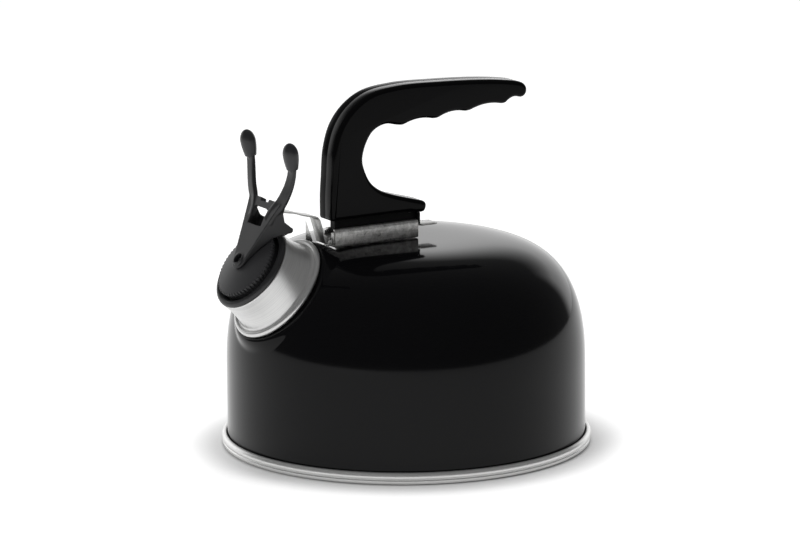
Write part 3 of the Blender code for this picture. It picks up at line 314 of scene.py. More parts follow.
def dress(tree, shader, surface, depth, numbers, place=None, tones=None):
    """Lay a surface group on a material: its roughness, a bump of its height, a mix of two tones."""
    if place is None:
        place = add_node(tree, "ShaderNodeTexCoord").outputs["Object"]
    group = add_node(tree, "ShaderNodeGroup", {"Vector": place, **numbers}, node_tree=surface).outputs
    if tones:
        mix = add_node(tree, "ShaderNodeMixRGB",
                       {0: group["Tone"], 1: (*tones[0], 1.0), 2: (*tones[1], 1.0)})
        tree.links.new(mix.outputs[0], shader.inputs["Base Color"])
    tree.links.new(group["Roughness"], shader.inputs["Roughness"])
    bump = add_node(tree, "ShaderNodeBump", {"Strength": 1.0, "Distance": depth, "Height": group["Height"]})
    tree.links.new(bump.outputs[0], shader.inputs["Normal"])


UNEVEN = uneven_surface()


def uneven_material(name, tone, roughness, drift=0.12, depth=0.02 * MM, patch=70.0, grain=1400.0,
                    constants=None):
    """A material with a drifting roughness and a fine grain, if not told otherwise a moulding's."""
    material, tree, shader = new_material(name, tone, roughness, 0.0, constants)
    dress(tree, shader, UNEVEN, depth,
          {"Patch Scale": patch, "Grain Scale": grain, "Roughness": roughness, "Drift": drift})
    return material


def shell_surface():
    """Wall and dome as a surface of revolution, with the seat blended in, as a grid of points.

    The dome is a superellipse: the powers of radius and height over their spans add up to one.
    Columns crowd round the neck. Near the neck's axis the surface's distance along that axis goes
    over from the dome's own to the seat's, by a smooth step of the distance from the axis.
    """
    near = np.radians(np.linspace(-CROWDED, CROWDED, 190))
    far = np.radians(np.linspace(CROWDED, 360 - CROWDED, 120))[1:-1]
    turn = math.pi + np.concatenate([near, far])
    angle = np.concatenate([np.linspace(0, 0.10, 8), np.linspace(0.10, 1.30, 120)[1:],
                            np.linspace(1.30, math.pi / 2, 26)[1:]])
    radius = WALL_RADIUS * np.maximum(np.cos(angle), 1e-9) ** (2 / RADIAL_POWER)
    height = SHOULDER_Z + (CROWN_Z - SHOULDER_Z) * np.sin(angle) ** (2 / HEIGHT_POWER)
    radius[-1] = 0
    radius = np.concatenate([np.full(6, WALL_RADIUS), radius])
    height = np.concatenate([np.linspace(FOOT_Z, SHOULDER_Z, 7)[:-1], height])
    points = np.stack([radius[:, None] * np.cos(turn), radius[:, None] * np.sin(turn),
                       height[:, None] + 0 * turn], -1)
    local = carried_into(SPOUT.inverted(), points)
    away = np.hypot(local[..., 0], local[..., 1])
    near_side = local[..., 2] > FAR_SIDE
    seat = (1 - smooth_step(away, SEAT_RADIUS, SEAT_RADIUS + SEAT_FILLET)) * near_side
    local[..., 2] += seat * (SEAT_LOW - local[..., 2])
    return carried_into(SPOUT, local), away + (local[..., 2] < FAR_SIDE)


SPOUT = axis_frame(FLANGE_CENTRE, SPOUT_UP, SPOUT_OUT)
shell_points, from_axis = shell_surface()
shell_faces = grid_quads(*from_axis.shape)
flat_points, from_axis = shell_points.reshape(-1, 3), from_axis.reshape(-1)
opened = (from_axis[shell_faces] < BORE).any(1)
rim = np.intersect1d(shell_faces[opened], shell_faces[~opened])
rim_local = carried_into(SPOUT.inverted(), flat_points[rim])
rim_local[:, :2] *= (BORE / np.hypot(rim_local[:, 0], rim_local[:, 1]))[:, None]
flat_points[rim] = carried_into(SPOUT, rim_local)
body = make_piece("kettle_body", flat_points, shell_faces[~opened], SHELL_SHARP)
wall = body.modifiers.new("sheet", "SOLIDIFY")
wall.thickness, wall.offset = SHEET, -1.0
shaded(applied(body), SHELL_SHARP)
paint(body, uneven_material("black_enamel", (0.0035, 0.0035, 0.004), 0.085, 0.06, 0.004 * MM, 18.0, 240.0,
                            {"Specular IOR Level": 0.14}))
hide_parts("body_shell")
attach(body, "root")

# Base pan. Turned bright aluminium: a flat floor with a low upstand inside the wall and a bead
# rolled round the wall's foot, which shows as a bright band with a line at half its height.
PAN_OUTLINE = np.array([                                       # corners as (radius, height)
    (0, 0), (77.4, 0), (80.6, 0.05), (82.1, 0.7), (82.3, 2.0), (81.9, 2.55), (82.5, 3.1), (82.5, 4.3),
    (81.9, 5.5), (81.0, 5.8), (80.3, 5.4), (80.3, 2.9), (78.8, 2.9), (78.8, 7.0), (77.8, 7.0),
    (77.8, 1.9), (75.9, 1.0), (0, 1.0)]) * MM
PAN_REACH = np.array([0, 0.35, 0.8, 0.8, 0.35, 0.35, 0.35, 0.8, 0.8, 0.8, *[0.35] * 7, 0]) * MM
METAL_SHARE = 0.8               # the rest is the grey of fine wear, which scatters the light
LOOSENESS = 1.5                 # of the turning marks, on their way round the axis


def rounded(outline, reach, steps=4, closed=True):
    """An outline whose corners give way to curves.

    Each is the parabola (1-t)^2 A + 2t(1-t) P + t^2 B, where P is the corner and A and B lie on
    its edges, reach away from it or at 0.45 of the edge where that is less.
    """
    outline = np.array(outline, float)
    reach = np.broadcast_to(np.asarray(reach, float), len(outline))
    before, after = np.roll(outline, 1, 0) - outline, np.roll(outline, -1, 0) - outline
    lengths = [np.linalg.norm(side, axis=1) for side in (before, after)]
    ends = [side / length[:, None] * np.minimum(reach, 0.45 * length)[:, None]
            for side, length in zip((before, after), lengths)]
    t = np.linspace(0, 1, steps)[None, :, None]
    curve = outline[:, None] + ends[0][:, None] * (1 - t) ** 2 + ends[1][:, None] * t ** 2
    if closed:
        return curve.reshape(-1, 2)
    return np.concatenate([outline[:1], curve[1:-1].reshape(-1, 2), outline[-1:]])


def arc(centre, radius, start, end, steps):
    """Points on a circle, or with two radii on an ellipse, between two angles in degrees."""
    turn = np.radians(np.linspace(start, end, steps))
    return np.array(centre) + np.array(radius) * np.stack([np.cos(turn), np.sin(turn)], -1)


def turned(name, outline, columns, place=None, sharp=35.0, halves=(1, 1)):
    """A closed outline of (radius, height) turned about a frame's Z axis. halves make it oval."""
    turn = np.linspace(0, 2 * math.pi, columns, endpoint=False)
    outline = np.asarray(outline, float)
    radius, height = outline[:, :1], outline[:, 1:]
    points = np.stack([radius * halves[0] * np.cos(turn), radius * halves[1] * np.sin(turn),
                       height + 0 * turn], -1)
    points = carried_into(place or Matrix.Identity(4), points)
    return make_piece(name, points, grid_quads(len(outline), columns, tube=True), sharp)


def turning_marks():
    """Node group: fine rings left by turning and brushing round an axis, as height and tone.

    The noise reads distance from the axis and distance along it closely, and the way round it
    only loosely, so that it draws into rings. The axis is the vector's Z.
    """
    tree, given, out = new_group("turning_marks", ("Ring Scale", "Roughness", "Drift"),
                                 ("Roughness", "Height", "Tone"))
    parts = add_node(tree, "ShaderNodeSeparateXYZ", {0: given["Vector"]}).outputs
    flat = add_node(tree, "ShaderNodeCombineXYZ", {"X": parts["X"], "Y": parts["Y"]}).outputs[0]
    away = add_node(tree, "ShaderNodeVectorMath", {0: flat}, operation="LENGTH").outputs["Value"]
    way = add_node(tree, "ShaderNodeVectorMath", {0: flat}, operation="NORMALIZE").outputs["Vector"]
    loose = add_node(tree, "ShaderNodeVectorMath", {0: way, "Scale": LOOSENESS}, operation="SCALE").outputs[0]
    line = math_node(tree, "MULTIPLY", math_node(tree, "ADD", away, parts["Z"]), given["Ring Scale"])
    slip = math_node(tree, "MULTIPLY", math_node(tree, "SUBTRACT", away, parts["Z"]), given["Ring Scale"])
    close = add_node(tree, "ShaderNodeCombineXYZ", {"X": line, "Y": slip}).outputs[0]
    where = add_node(tree, "ShaderNodeVectorMath", {0: close, 1: loose}, operation="ADD").outputs[0]
    rings = noise(tree, where, 1.0, 3.0)
    give_roughness(tree, given, out, rings)
    tree.links.new(rings, out["Height"])
    tone = add_node(tree, "ShaderNodeMapRange", {"Value": rings, "From Min": 0.3, "From Max": 0.7})
    tree.links.new(tone.outputs[0], out["Tone"])
    return tree


MARKS = turning_marks()


def turned_metal(name, dark, bright, roughness, drift, depth, axis=None, ring_scale=2500.0):
    """A bright metal with turning marks round an axis frame's Z."""
    material, tree, shader = new_material(name, bright, roughness, METAL_SHARE)
    place = add_node(tree, "ShaderNodeTexCoord").outputs["Object"]
    if axis:
        back = axis.inverted()
        place = add_node(tree, "ShaderNodeMapping", {"Vector": place, "Location": back.translation,
                         "Rotation": back.to_euler()}).outputs[0]
    dress(tree, shader, MARKS, depth, {"Ring Scale": ring_scale, "Roughness": roughness, "Drift": drift},
          place, (dark, bright))
    return material


pan = turned("base_pan_bead", rounded(PAN_OUTLINE, PAN_REACH, 5), 200)
paint(pan, turned_metal("turned_aluminium", (0.76, 0.76, 0.75), (0.93, 0.93, 0.92), 0.32, 0.15, 0.006 * MM))
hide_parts("base_pan")
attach(pan, "root")

# Spout neck. Bright sheet metal, flared at its foot into a rolled bead that sits on the seat, and
# brushed round its axis. It is pushed through the body and swaged over a clamp ring inside.
FLANGE_RADIUS = 25.2 * MM
FLANGE_BEAD = 1.4 * MM
BEAD_MIDDLE = 0.6 * MM          # along the neck
MOUTH_RADIUS = 20.2 * MM
NECK_BASE_RADIUS = 22.1 * MM
FLARE_LOW, FLARE_POWER = 2.0 * MM, 2.4
NECK_LENGTH = 16.4 * MM
MOUTH_EDGE = 0.55 * MM          # height of its half circle
NECK_BORE = 19.0 * MM
NECK_TAIL = np.array([(18.9, -5.1), (21.5, -5.1), (21.5, -4.0), (20.1, -4.0), (20.1, 0.6)]) * MM


def neck_outline():
    """Half section of the neck: (radius, distance from the flange's plane).

    The bead is a circle but for 48 degrees. From it the tube narrows by a power of what is left
    of its length, and the mouth's edge is a half circle drawn out or in to its height.
    """
    bead = arc((FLANGE_RADIUS - FLANGE_BEAD, BEAD_MIDDLE), FLANGE_BEAD, 180, 492, 28)
    share, straight = np.linspace(0, 1, 24), NECK_LENGTH - MOUTH_EDGE
    flare = np.stack([MOUTH_RADIUS + (NECK_BASE_RADIUS - MOUTH_RADIUS) * (1 - share) ** FLARE_POWER,
                      FLARE_LOW + (straight - FLARE_LOW) * share], -1)
    half = (MOUTH_RADIUS - NECK_BORE) / 2
    edge = arc((MOUTH_RADIUS - half, straight), (half, MOUTH_EDGE), 0, 180, 9)[1:]
    return np.concatenate([NECK_TAIL, bead, flare, edge, [(NECK_BORE, NECK_LENGTH / 2)]])


neck = turned("neck_tube", neck_outline(), 180, SPOUT, sharp=50)
paint(neck, turned_metal("brushed_neck", (0.60, 0.60, 0.60), (0.76, 0.76, 0.75), 0.34, 0.12, 0.004 * MM,
                         SPOUT, 3200.0))
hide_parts("spout_neck")
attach(neck, "root")

# Rings inside: the gasket under the flange and the seals of the collar and flap are soft black
# rubber, the clamp ring, the backing plate and the whistle's second disc are plain sheet metal.
rubber = uneven_material("seal_rubber", (0.012, 0.012, 0.012), 0.7, 0.2, 0.03 * MM, 90.0, 1500.0)
plain_sheet = turned_metal("plain_sheet", (0.42, 0.42, 0.41), (0.58, 0.58, 0.57), 0.35, 0.2, 0.01 * MM)
for name in ("spout_gasket", "collar_seal", "whistle_seal"):
    paint(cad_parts[name], rubber)
for name in ("spout_clamp_ring", "whistle_plate", "bracket_backing_plate"):
    paint(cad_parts[name], plain_sheet)

# Whistle collar. Black moulded ring pushed into the neck's mouth, with a rounded front lip and the
# hinge lug at its top, which is bored for the pin.
COLLAR_OUTLINE = np.array([(16.8, 9.9), (18.7, 9.9), (18.7, 16.7), (20.2, 16.7), (20.2, 17.2), (19.8, 18.3),
                           (18.7, 18.9), (17.8, 18.6), (16.8, 17.4)]) * MM
COLLAR_REACH = np.array([0.2, 0.2, 0.1, 0.25, 0.4, 0.9, 0.5, 0.4, 0.3]) * MM
COLLAR_TIP = 18.9 * MM
HINGE_RISE, HINGE_ALONG = 21.9 * MM, 17.5 * MM       # of the pin, off the neck's axis and along it
HINGE = FLANGE_CENTRE + SPOUT_UP * HINGE_RISE + SPOUT_OUT * HINGE_ALONG
PIN_FRAME = axis_frame(HINGE, Vector((1, 0, 0)), Vector((0, -1, 0)))
PIN_BORE = 1.0 * MM
LUG_RADIUS = 2.0 * MM
LUG_HALF_WIDTH = 6.4 * MM
LUG_FOOT = np.array([(19.0, 18.6), (19.0, 16.75), (20.8, 16.75)]) * MM


def capped(name, points, sharp=35.0):
    """A piece from a grid whose rows are rings, with a face over its first and its last row."""
    rows, columns = points.shape[:2]
    caps = (range(columns), range(rows * columns - 1, (rows - 1) * columns - 1, -1))
    return make_piece(name, points, grid_quads(rows, columns), sharp, caps)


def extruded(name, outline, low, high, place, axis=1):
    """A closed outline in two axes of a frame, carried along the third one from low to high."""
    outline = np.asarray(outline, float)
    ends = np.stack([np.insert(outline, axis, depth, axis=1) for depth in (low, high)])
    return capped(name, carried_into(place, ends))


def rod(name, radius, low, high, sides, place):
    """A cylinder between two heights on a frame's Z axis."""
    return turned(name, [(0, low), (radius, low), (radius, high), (0, high)], sides, place)


def cut(target, operation, tool):
    """Cut a tool from the target, or join it on, exactly, and throw the tool away."""
    step = target.modifiers.new(operation, "BOOLEAN")
    step.operation, step.solver, step.object = operation, "EXACT", tool
    applied(target)
    bpy.data.objects.remove(tool)


def round_edges(piece, width, angle=40.0):
    """Small rounded edges where faces meet at more than an angle."""
    edge = piece.modifiers.new("edges", "BEVEL")
    edge.width, edge.segments, edge.limit_method = width, 2, "ANGLE"
    edge.angle_limit = math.radians(angle)
    shaded(applied(piece), 40)


collar = turned("collar_ring", rounded(COLLAR_OUTLINE, COLLAR_REACH, 5), 160, SPOUT)
lug_top = arc((HINGE_RISE, HINGE_ALONG), LUG_RADIUS, -40, 130, 20)
lug = extruded("lug", np.concatenate([lug_top, LUG_FOOT]), -LUG_HALF_WIDTH, LUG_HALF_WIDTH, SPOUT)
round_edges(lug, 0.3 * MM)
cut(collar, "UNION", lug)
cut(collar, "DIFFERENCE", rod("hole", PIN_BORE, -9 * MM, 9 * MM, 33, PIN_FRAME))
shaded(collar, 35)
satin_black = uneven_material("satin_black_moulding", (0.016, 0.016, 0.017), 0.42)
paint(collar, satin_black)
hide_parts("whistle_collar")
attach(collar, "root")

# Hinge pin. A plain steel wire through the lug, with its rounded ends in blind holes in the side
# walls of the fork lever.
PIN_RADIUS, PIN_HALF = 0.8 * MM, 9.4 * MM
pin_outline = rounded([(0, -PIN_HALF), (PIN_RADIUS, -PIN_HALF), (PIN_RADIUS, PIN_HALF), (0, PIN_HALF)],
                      np.array([0, 0.4, 0.4, 0]) * MM, 5)
pin = turned("pin_wire", pin_outline, 32, PIN_FRAME)
paint(pin, turned_metal("drawn_wire", (0.5, 0.5, 0.5), (0.68, 0.68, 0.67), 0.25, 0.15, 0.01 * MM, PIN_FRAME))
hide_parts("hinge_pin")
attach(pin, "root")

# Whistle cover. Black moulded disc, domed, with fine notches cut round its rim, a hole at its
# centre and a plug behind that fits the collar. Its front is left bare. Its black is made lighter
# than the lever's, a painted sheen.
COVER_RADIUS = 16.3 * MM
COVER_RIM = 20.9 * MM
COVER_CROWN = 2.4 * MM
COVER_NOTCHES = 56
NOTCH_DEPTH = 0.55 * MM
NOTCH_EDGES = (0.35, 0.75)      # of the cosine that cuts the notches
COVER_SHEET = 1.8 * MM
PLUG, PLUG_INNER = 15.7 * MM, 14.3 * MM
PLUG_BACK = 15.9 * MM
WHISTLE_HOLE = 2.0 * MM


def cover_points():
    """Domed disc and plug turned about the neck's axis, its rim cut by notches.

    The front rises over the rim by the crown times one less the square of the radius' share. Near
    the rim the radius shrinks by the notch depth where a cosine, which runs once for each notch,
    goes from the lower to the upper of its edges.
    """
    share = np.linspace(0.985, WHISTLE_HOLE / COVER_RADIUS, 26)
    front = np.stack([COVER_RADIUS * share, COVER_RIM + COVER_CROWN * (1 - share ** 2)], -1)
    share = np.linspace(0.14, 0.84, 12)
    inside = np.stack([COVER_RADIUS * share, COVER_RIM - COVER_SHEET + COVER_CROWN * (1 - share ** 2)], -1)
    rim = rounded([(PLUG, 19.2 * MM), (COVER_RADIUS, 19.1 * MM), (COVER_RADIUS, COVER_RIM), front[0]],
                  np.array([0, 0.2, 0.35, 0]) * MM, 5, closed=False)
    plug = rounded([(PLUG_INNER, 18.9 * MM), (PLUG_INNER, PLUG_BACK), (PLUG, PLUG_BACK), (PLUG, 19.2 * MM)],
                   np.array([0, 0.25, 0.5, 0]) * MM, 5, closed=False)
    outline = np.concatenate([plug[:-1], np.linspace(rim[0], rim[1], 4)[:-1], rim[1:], front[1:], inside])
    turn = np.linspace(0, 2 * math.pi, COVER_NOTCHES * 8, endpoint=False)
    notch = smooth_step(np.cos(COVER_NOTCHES * turn), *NOTCH_EDGES)
    near_rim = smooth_step(outline[:, 0], 15.4 * MM, 15.9 * MM)[:, None] * (outline[:, 1:] > 19.0 * MM)
    radius = outline[:, :1] - NOTCH_DEPTH * near_rim * notch
    height = outline[:, 1:] + 0 * turn
    return np.stack([radius * np.cos(turn), radius * np.sin(turn), height], -1)


local = cover_points()
cover = make_piece("whistle_disc", carried_into(SPOUT, local), grid_quads(*local.shape[:2], tube=True), 50)
# Painted sheen: black moulding, lighter than the lever's black so as to stand in for a soft sheen.
paint(cover, uneven_material("matt_black_disc_painted_sheen", (0.032, 0.032, 0.034), 0.48))
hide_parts("whistle_cover")
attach(cover, "flap")

# Fork lever. Black moulding that stands on the cover and turns on the pin: a flaring plate with
# side walls, a window with a web behind it, and two prongs that spread to the finger tips.
LEVER_LEAN = math.radians(28.6)
LEVER_UP = Vector((math.sin(LEVER_LEAN), 0, math.cos(LEVER_LEAN)))
LEVER_OUT = Vector((-math.cos(LEVER_LEAN), 0, math.sin(LEVER_LEAN)))
LEVER_ORIGIN = FLANGE_CENTRE + SPOUT_OUT * (COVER_RIM + COVER_CROWN + 1.8 * MM)
LEVER_LENGTH = 28.8 * MM
LEVER_WALL = 1.5 * MM
LEVER_HALF_WIDTHS = (4.7 * MM, 9.2 * MM, 14.2 * MM)    # at the hole, halfway and at the crotch
LEVER_HOLE = 2.3 * MM
WINDOW = (16.4 * MM, 24.6 * MM, 5.6 * MM)             # its low and high station and half width
PRONG_HALF = (3.05 * MM, 0.85 * MM)
PRONG_POWER = 0.45                                    # of the section: the lower, the squarer
PRONG_ROOT = (19.5 * MM, 25 * MM)                     # stations on the plate's edge
PRONG_KEYS = ((0.7, 0.12, -0.05), (1.6, 0.50, 0.22), (2.4, 0.74, 0.47), (3.0, 0.91, 0.745))
TIP_FOOT = Vector((-67.3, 18.57, 134.05)) * MM
TIP_LEAN = (-0.159, 0.069)                            # forwards and outwards, for one upwards
PLATE = axis_frame(LEVER_ORIGIN, LEVER_UP, LEVER_OUT)
EAR_RADIUS = 1.45 * MM                                # of the side walls round the pin
CLEARANCE = 0.25 * MM                                 # of the lever over the cover
BEYOND = 26 * MM                                      # past the lever on every side
LIP = np.array([(2.0, 23.4), (3.2, 23.4), (3.2, 25.5), (2.9, 25.7), (2.0, 25.7)]) * MM
LEVER_CELLS = 0.27 * MM


def lever_half_width(station):
    """Half width of the plate: a parabola through its widths at the hole, halfway and crotch."""
    share = station / LEVER_LENGTH
    foot, shoulder, crotch = LEVER_HALF_WIDTHS
    return (foot * (1 - share) * (1 - 2 * share) + shoulder * 4 * share * (1 - share)
            + crotch * share * (2 * share - 1))


def plate_outline(margin, low, high, steps=24):
    """Outline of the plate between two stations, moved inwards by a margin: (station, y) points."""
    rows = np.linspace(low, high, steps)
    half = lever_half_width(rows) - margin
    return np.concatenate([np.stack([rows, half], -1), np.stack([rows[::-1], -half[::-1]], -1)])


def through_plate(name, outline, back, front):
    """A (station, y) outline carried along the plate's normal from back to front."""
    return extruded(name, outline, back, front, PLATE, axis=2)


def rectangle(low, high, half):
    """Corners of a rectangle on the plate."""
    return [(low, -half), (high, -half), (high, half), (low, half)]


def unit(rows):
    """Each row of an array made one long."""
    return rows / np.linalg.norm(rows, axis=1)[:, None]


def prong_bar(side):
    """One prong: a rounded rectangle carried along its path, and drawn thinner from back to front.

    The section is a superellipse: sine and cosine to a power, each with its sign kept. The path
    leaves the plate's edge at the root and ends under the tip. Between them each key says how far
    forwards in mm, and what share of the way out and up, the prong has come from the crotch.
    """
    crotch = LEVER_ORIGIN + LEVER_UP * LEVER_LENGTH
    start = LEVER_HALF_WIDTHS[2] - PRONG_HALF[0]
    rise, spread = TIP_FOOT.z - crotch.z, TIP_FOOT.y - start
    keys = []
    for station in PRONG_ROOT:
        place = LEVER_ORIGIN + LEVER_UP * station - LEVER_OUT * 1.25 * MM
        keys.append((place.x, lever_half_width(station) - PRONG_HALF[0], place.z))
    for ahead, out, up in PRONG_KEYS:
        keys.append((crotch.x + ahead * MM, start + spread * out, crotch.z + rise * up))
    keys = np.array([*keys, TIP_FOOT]) * (1, side, 1)
    path = np.concatenate([run_through(keys, 7), keys[-1:]])
    ahead = unit(np.gradient(path, axis=0))
    front = unit(np.array([-1.0, 0, 0]) - ahead * (ahead @ np.array([-1.0, 0, 0]))[:, None])
    across = np.cross(ahead, front)
    turn = np.linspace(0, 2 * math.pi, 32, endpoint=False)
    wide, deep = (np.sign(wave) * np.abs(wave) ** PRONG_POWER * half
                  for wave, half in zip((np.cos(turn), np.sin(turn)), PRONG_HALF))
    share = np.linspace(0, 1, len(path))[:, None]
    wide, deep = wide * (1 - 0.06 * share), deep * (1.5 - 0.5 * share)
    return capped("prong", path[:, None] + across[:, None] * wide[..., None]
                  + front[:, None] * deep[..., None], 60)


def run_through(points, steps):
    """A centripetal Catmull-Rom curve: knots are spaced by the square root of each chord."""
    points = np.array(points, float)
    points = np.concatenate([[2 * points[0] - points[1]], points, [2 * points[-1] - points[-2]]])
    p = [points[i:len(points) - 3 + i, None] for i in range(4)]
    chord = [np.sqrt(np.linalg.norm(b - a, axis=-1, keepdims=True)) for a, b in zip(p, p[1:])]
    k = [0 * chord[0], chord[0], chord[0] + chord[1], chord[0] + chord[1] + chord[2]]
    t = k[1] + (k[2] - k[1]) * np.linspace(0, 1, steps, endpoint=False)[None, :, None]
    a = [p[i] + (p[i + 1] - p[i]) * (t - k[i]) / (k[i + 1] - k[i]) for i in range(3)]
    b = [a[i] + (a[i + 1] - a[i]) * (t - k[i]) / (k[i + 2] - k[i]) for i in range(2)]
    curve = b[0] + (b[1] - b[0]) * (t - k[1]) / (k[2] - k[1])
    return curve.reshape(-1, points.shape[1])


def tip_stand(side):
    """The frame of a tip at the end of its prong: Z up the prong, X across the kettle."""
    upward = Vector((TIP_LEAN[0], side * TIP_LEAN[1], 1)).normalized()
    across_kettle = (Vector((0, 1, 0)) - upward * upward.y).normalized()
    return axis_frame(Vector((TIP_FOOT.x, side * TIP_FOOT.y, TIP_FOOT.z - 0.3 * MM)), across_kettle, upward)


def lever_body():
    """Side view of the walls carried across, cut to the plate's front outline, and hollowed."""
    hinge_s, hinge_m = (HINGE - LEVER_ORIGIN).dot(LEVER_UP), (HINGE - LEVER_ORIGIN).dot(LEVER_OUT)
    side = np.concatenate([
        [(-9 * MM, MM), (-9 * MM, -8 * MM), (hinge_s - 4.0 * MM, hinge_m + 1.6 * MM)],
        arc((hinge_s, hinge_m), EAR_RADIUS, 195, 372, 14),
        [(hinge_s + 2.2 * MM, hinge_m + 4.6 * MM), (hinge_s + 5.0 * MM, hinge_m + 7.6 * MM),
         (LEVER_LENGTH, -2.6 * MM), (LEVER_LENGTH, MM)]])
    block = extruded("lever", side, -BEYOND, BEYOND, PLATE)
    round_end = arc((0, 0), LEVER_HALF_WIDTHS[0], 250, 110, 16)
    front = np.concatenate([round_end, plate_outline(0, 0.06 * LEVER_LENGTH, LEVER_LENGTH)])
    cut(block, "INTERSECT", through_plate("front", front, -25 * MM, 0))
    hollow = plate_outline(LEVER_WALL, 0.36 * LEVER_LENGTH, LEVER_LENGTH - LEVER_WALL)
    cut(block, "DIFFERENCE", through_plate("hollow", hollow, -BEYOND, -LEVER_WALL))
    reach, crown = MOUTH_RADIUS + 0.3 * MM, COVER_RIM + CLEARANCE
    share = np.linspace(0.95, 0.15, 20)
    dome = np.stack([17.1 * MM * share, crown + COVER_CROWN * (1 - share ** 2)], -1)
    dome = np.concatenate([[(0, -5 * MM), (reach, -5 * MM), (reach, COLLAR_TIP + 0.1 * MM),
                            (17.4 * MM, 21.2 * MM)], dome, [(0, crown + COVER_CROWN)]])
    cut(block, "DIFFERENCE", turned("clearance", dome, 90, SPOUT))
    return block


lever = lever_body()
for side in (-1, 1):
    cut(lever, "UNION", prong_bar(side))
    cut(lever, "UNION", rod("peg", 1.4 * MM, -MM, 4 * MM, 29, tip_stand(side)))
cut(lever, "DIFFERENCE", through_plate("window", rounded(rectangle(*WINDOW), 0.4 * MM, 4), -BEYOND, MM))
notch = rectangle(LEVER_LENGTH - 1.3 * MM, LEVER_LENGTH + 1.5 * MM, 3 * MM)
cut(lever, "DIFFERENCE", through_plate("notch", notch, -BEYOND, 2 * MM))
web = plate_outline(0.8 * MM, 16.8 * MM, 21.8 * MM, 8)
cut(lever, "UNION", through_plate("web", web, -8.1 * MM, -6.6 * MM))
cut(lever, "UNION", turned("lip", LIP, 47, SPOUT))
cut(lever, "DIFFERENCE", rod("hole", LEVER_HOLE, 0, 40 * MM, 43, SPOUT))
pin_room = PIN_HALF + 0.1 * MM
cut(lever, "DIFFERENCE", rod("pin_hole", PIN_BORE, -pin_room, pin_room, 37, PIN_FRAME))
cells = lever.modifiers.new("cells", "REMESH")
cells.mode, cells.voxel_size, cells.use_smooth_shade = "VOXEL", LEVER_CELLS, True
soften = lever.modifiers.new("soften", "SMOOTH")
soften.factor, soften.iterations = 0.5, 4
applied(lever)
paint(lever, satin_black)
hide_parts("whistle_lever")
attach(lever, "flap")

# Lever tips. Two egg-shaped soft black ends pushed on the pegs of the prongs, so that a finger
# finds them and stays cool.
TIP_HEIGHT = 11.8 * MM
TIP_WIDEST = 0.56                        # share of the height at which the egg is widest
TIP_NARROWING = 0.27                     # share of the half width that is lost below that
TIP_HALVES = (3.95 * MM, 3.3 * MM)       # half width across the kettle and along the spout
SOCKET = np.array([(0, 4.4 * MM), (0.43, 4.4 * MM), (0.43, 0.1 * MM), (0.68, 0.0)])
soft_black = uneven_material("soft_black_tip", (0.020, 0.020, 0.022), 0.4, 0.08, 0.01 * MM)


def tip_outline():
    """Half section of an egg with a cut lower end: (share of the half width, height).

    Above its widest place the width is a quarter of an ellipse. Below, it narrows by the power
    1.8 of the way to the lower end, where a short slope leads to the socket for the peg.
    """
    widest = TIP_WIDEST * TIP_HEIGHT
    upper = arc((0, widest), (1, TIP_HEIGHT - widest), 0, 90, 22)
    upper[-1, 0] = 0
    down = np.linspace(1, 0.03, 14)
    lower = np.stack([1 - TIP_NARROWING * down ** 1.8, widest * (1 - down)], -1)
    return np.concatenate([SOCKET, lower, upper])


for side, sign in (("left", 1), ("right", -1)):
    node = f"lever_tip_{side}"
    tip = turned(f"finger_tip_{side}", tip_outline(), 56, tip_stand(sign), 60, TIP_HALVES)
    paint(tip, soft_black)
    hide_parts(node)
    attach(tip, "flap")

# Handle channel. Sheet steel folded into a C that is open at the top. Two rivets hold it and its
# liner on the dome. Its outside is scuffed and dull.
BRACKET_LEFT, BRACKET_RIGHT = -38.0 * MM, 4.2 * MM
BRACKET_HALF = 4.6 * MM
BRACKET_LOW, BRACKET_HIGH = 92.9 * MM, 100.9 * MM
BRACKET_SHEET = 0.8 * MM
SLOT_HALF = 2.3 * MM
RIVET_STATIONS = (-30.0 * MM, -16.0 * MM)
RIVET_HOLE = 1.5 * MM
SCRATCH_SCALES = (90.0, 1500.0, 1500.0)
ALONG_X = axis_frame(Vector((0, 0, 0)), Vector((0, 1, 0)), Vector((0, 0, 1)))


def scuffs():
    """Node group: handling marks on sheet metal, as tone, roughness and height.

    Blotches are a warped noise. Scratches are a noise drawn out along X.
    """
    tree, given, out = new_group("scuffs", ("Blotch Scale", "Roughness", "Drift"),
                                 ("Roughness", "Height", "Tone"))
    blotch = noise(tree, given["Vector"], given["Blotch Scale"], 6.0, Roughness=0.65, Distortion=0.6)
    drawn = add_node(tree, "ShaderNodeVectorMath", {0: given["Vector"], 1: SCRATCH_SCALES},
                     operation="MULTIPLY").outputs[0]
    streak = noise(tree, drawn, 1.0, 3.0)
    give_roughness(tree, given, out, blotch)
    tree.links.new(math_node(tree, "ADD", blotch, math_node(tree, "MULTIPLY", streak, 0.4)), out["Height"])
    mixed = math_node(tree, "ADD", math_node(tree, "MULTIPLY", blotch, 0.7),
                      math_node(tree, "MULTIPLY", streak, 0.3))
    tone = add_node(tree, "ShaderNodeMapRange", {"Value": mixed, "From Min": 0.36, "From Max": 0.64})
    tree.links.new(tone.outputs[0], out["Tone"])
    return tree


SCUFFS = scuffs()


def scuffed_metal(name, dark, bright, roughness, drift, depth, blotch=160.0):
    """Handled sheet metal: tone, roughness and height from the scuffs."""
    material, tree, shader = new_material(name, bright, roughness, METAL_SHARE)
    dress(tree, shader, SCUFFS, depth, {"Blotch Scale": blotch, "Roughness": roughness, "Drift": drift},
          tones=(dark, bright))
    return material


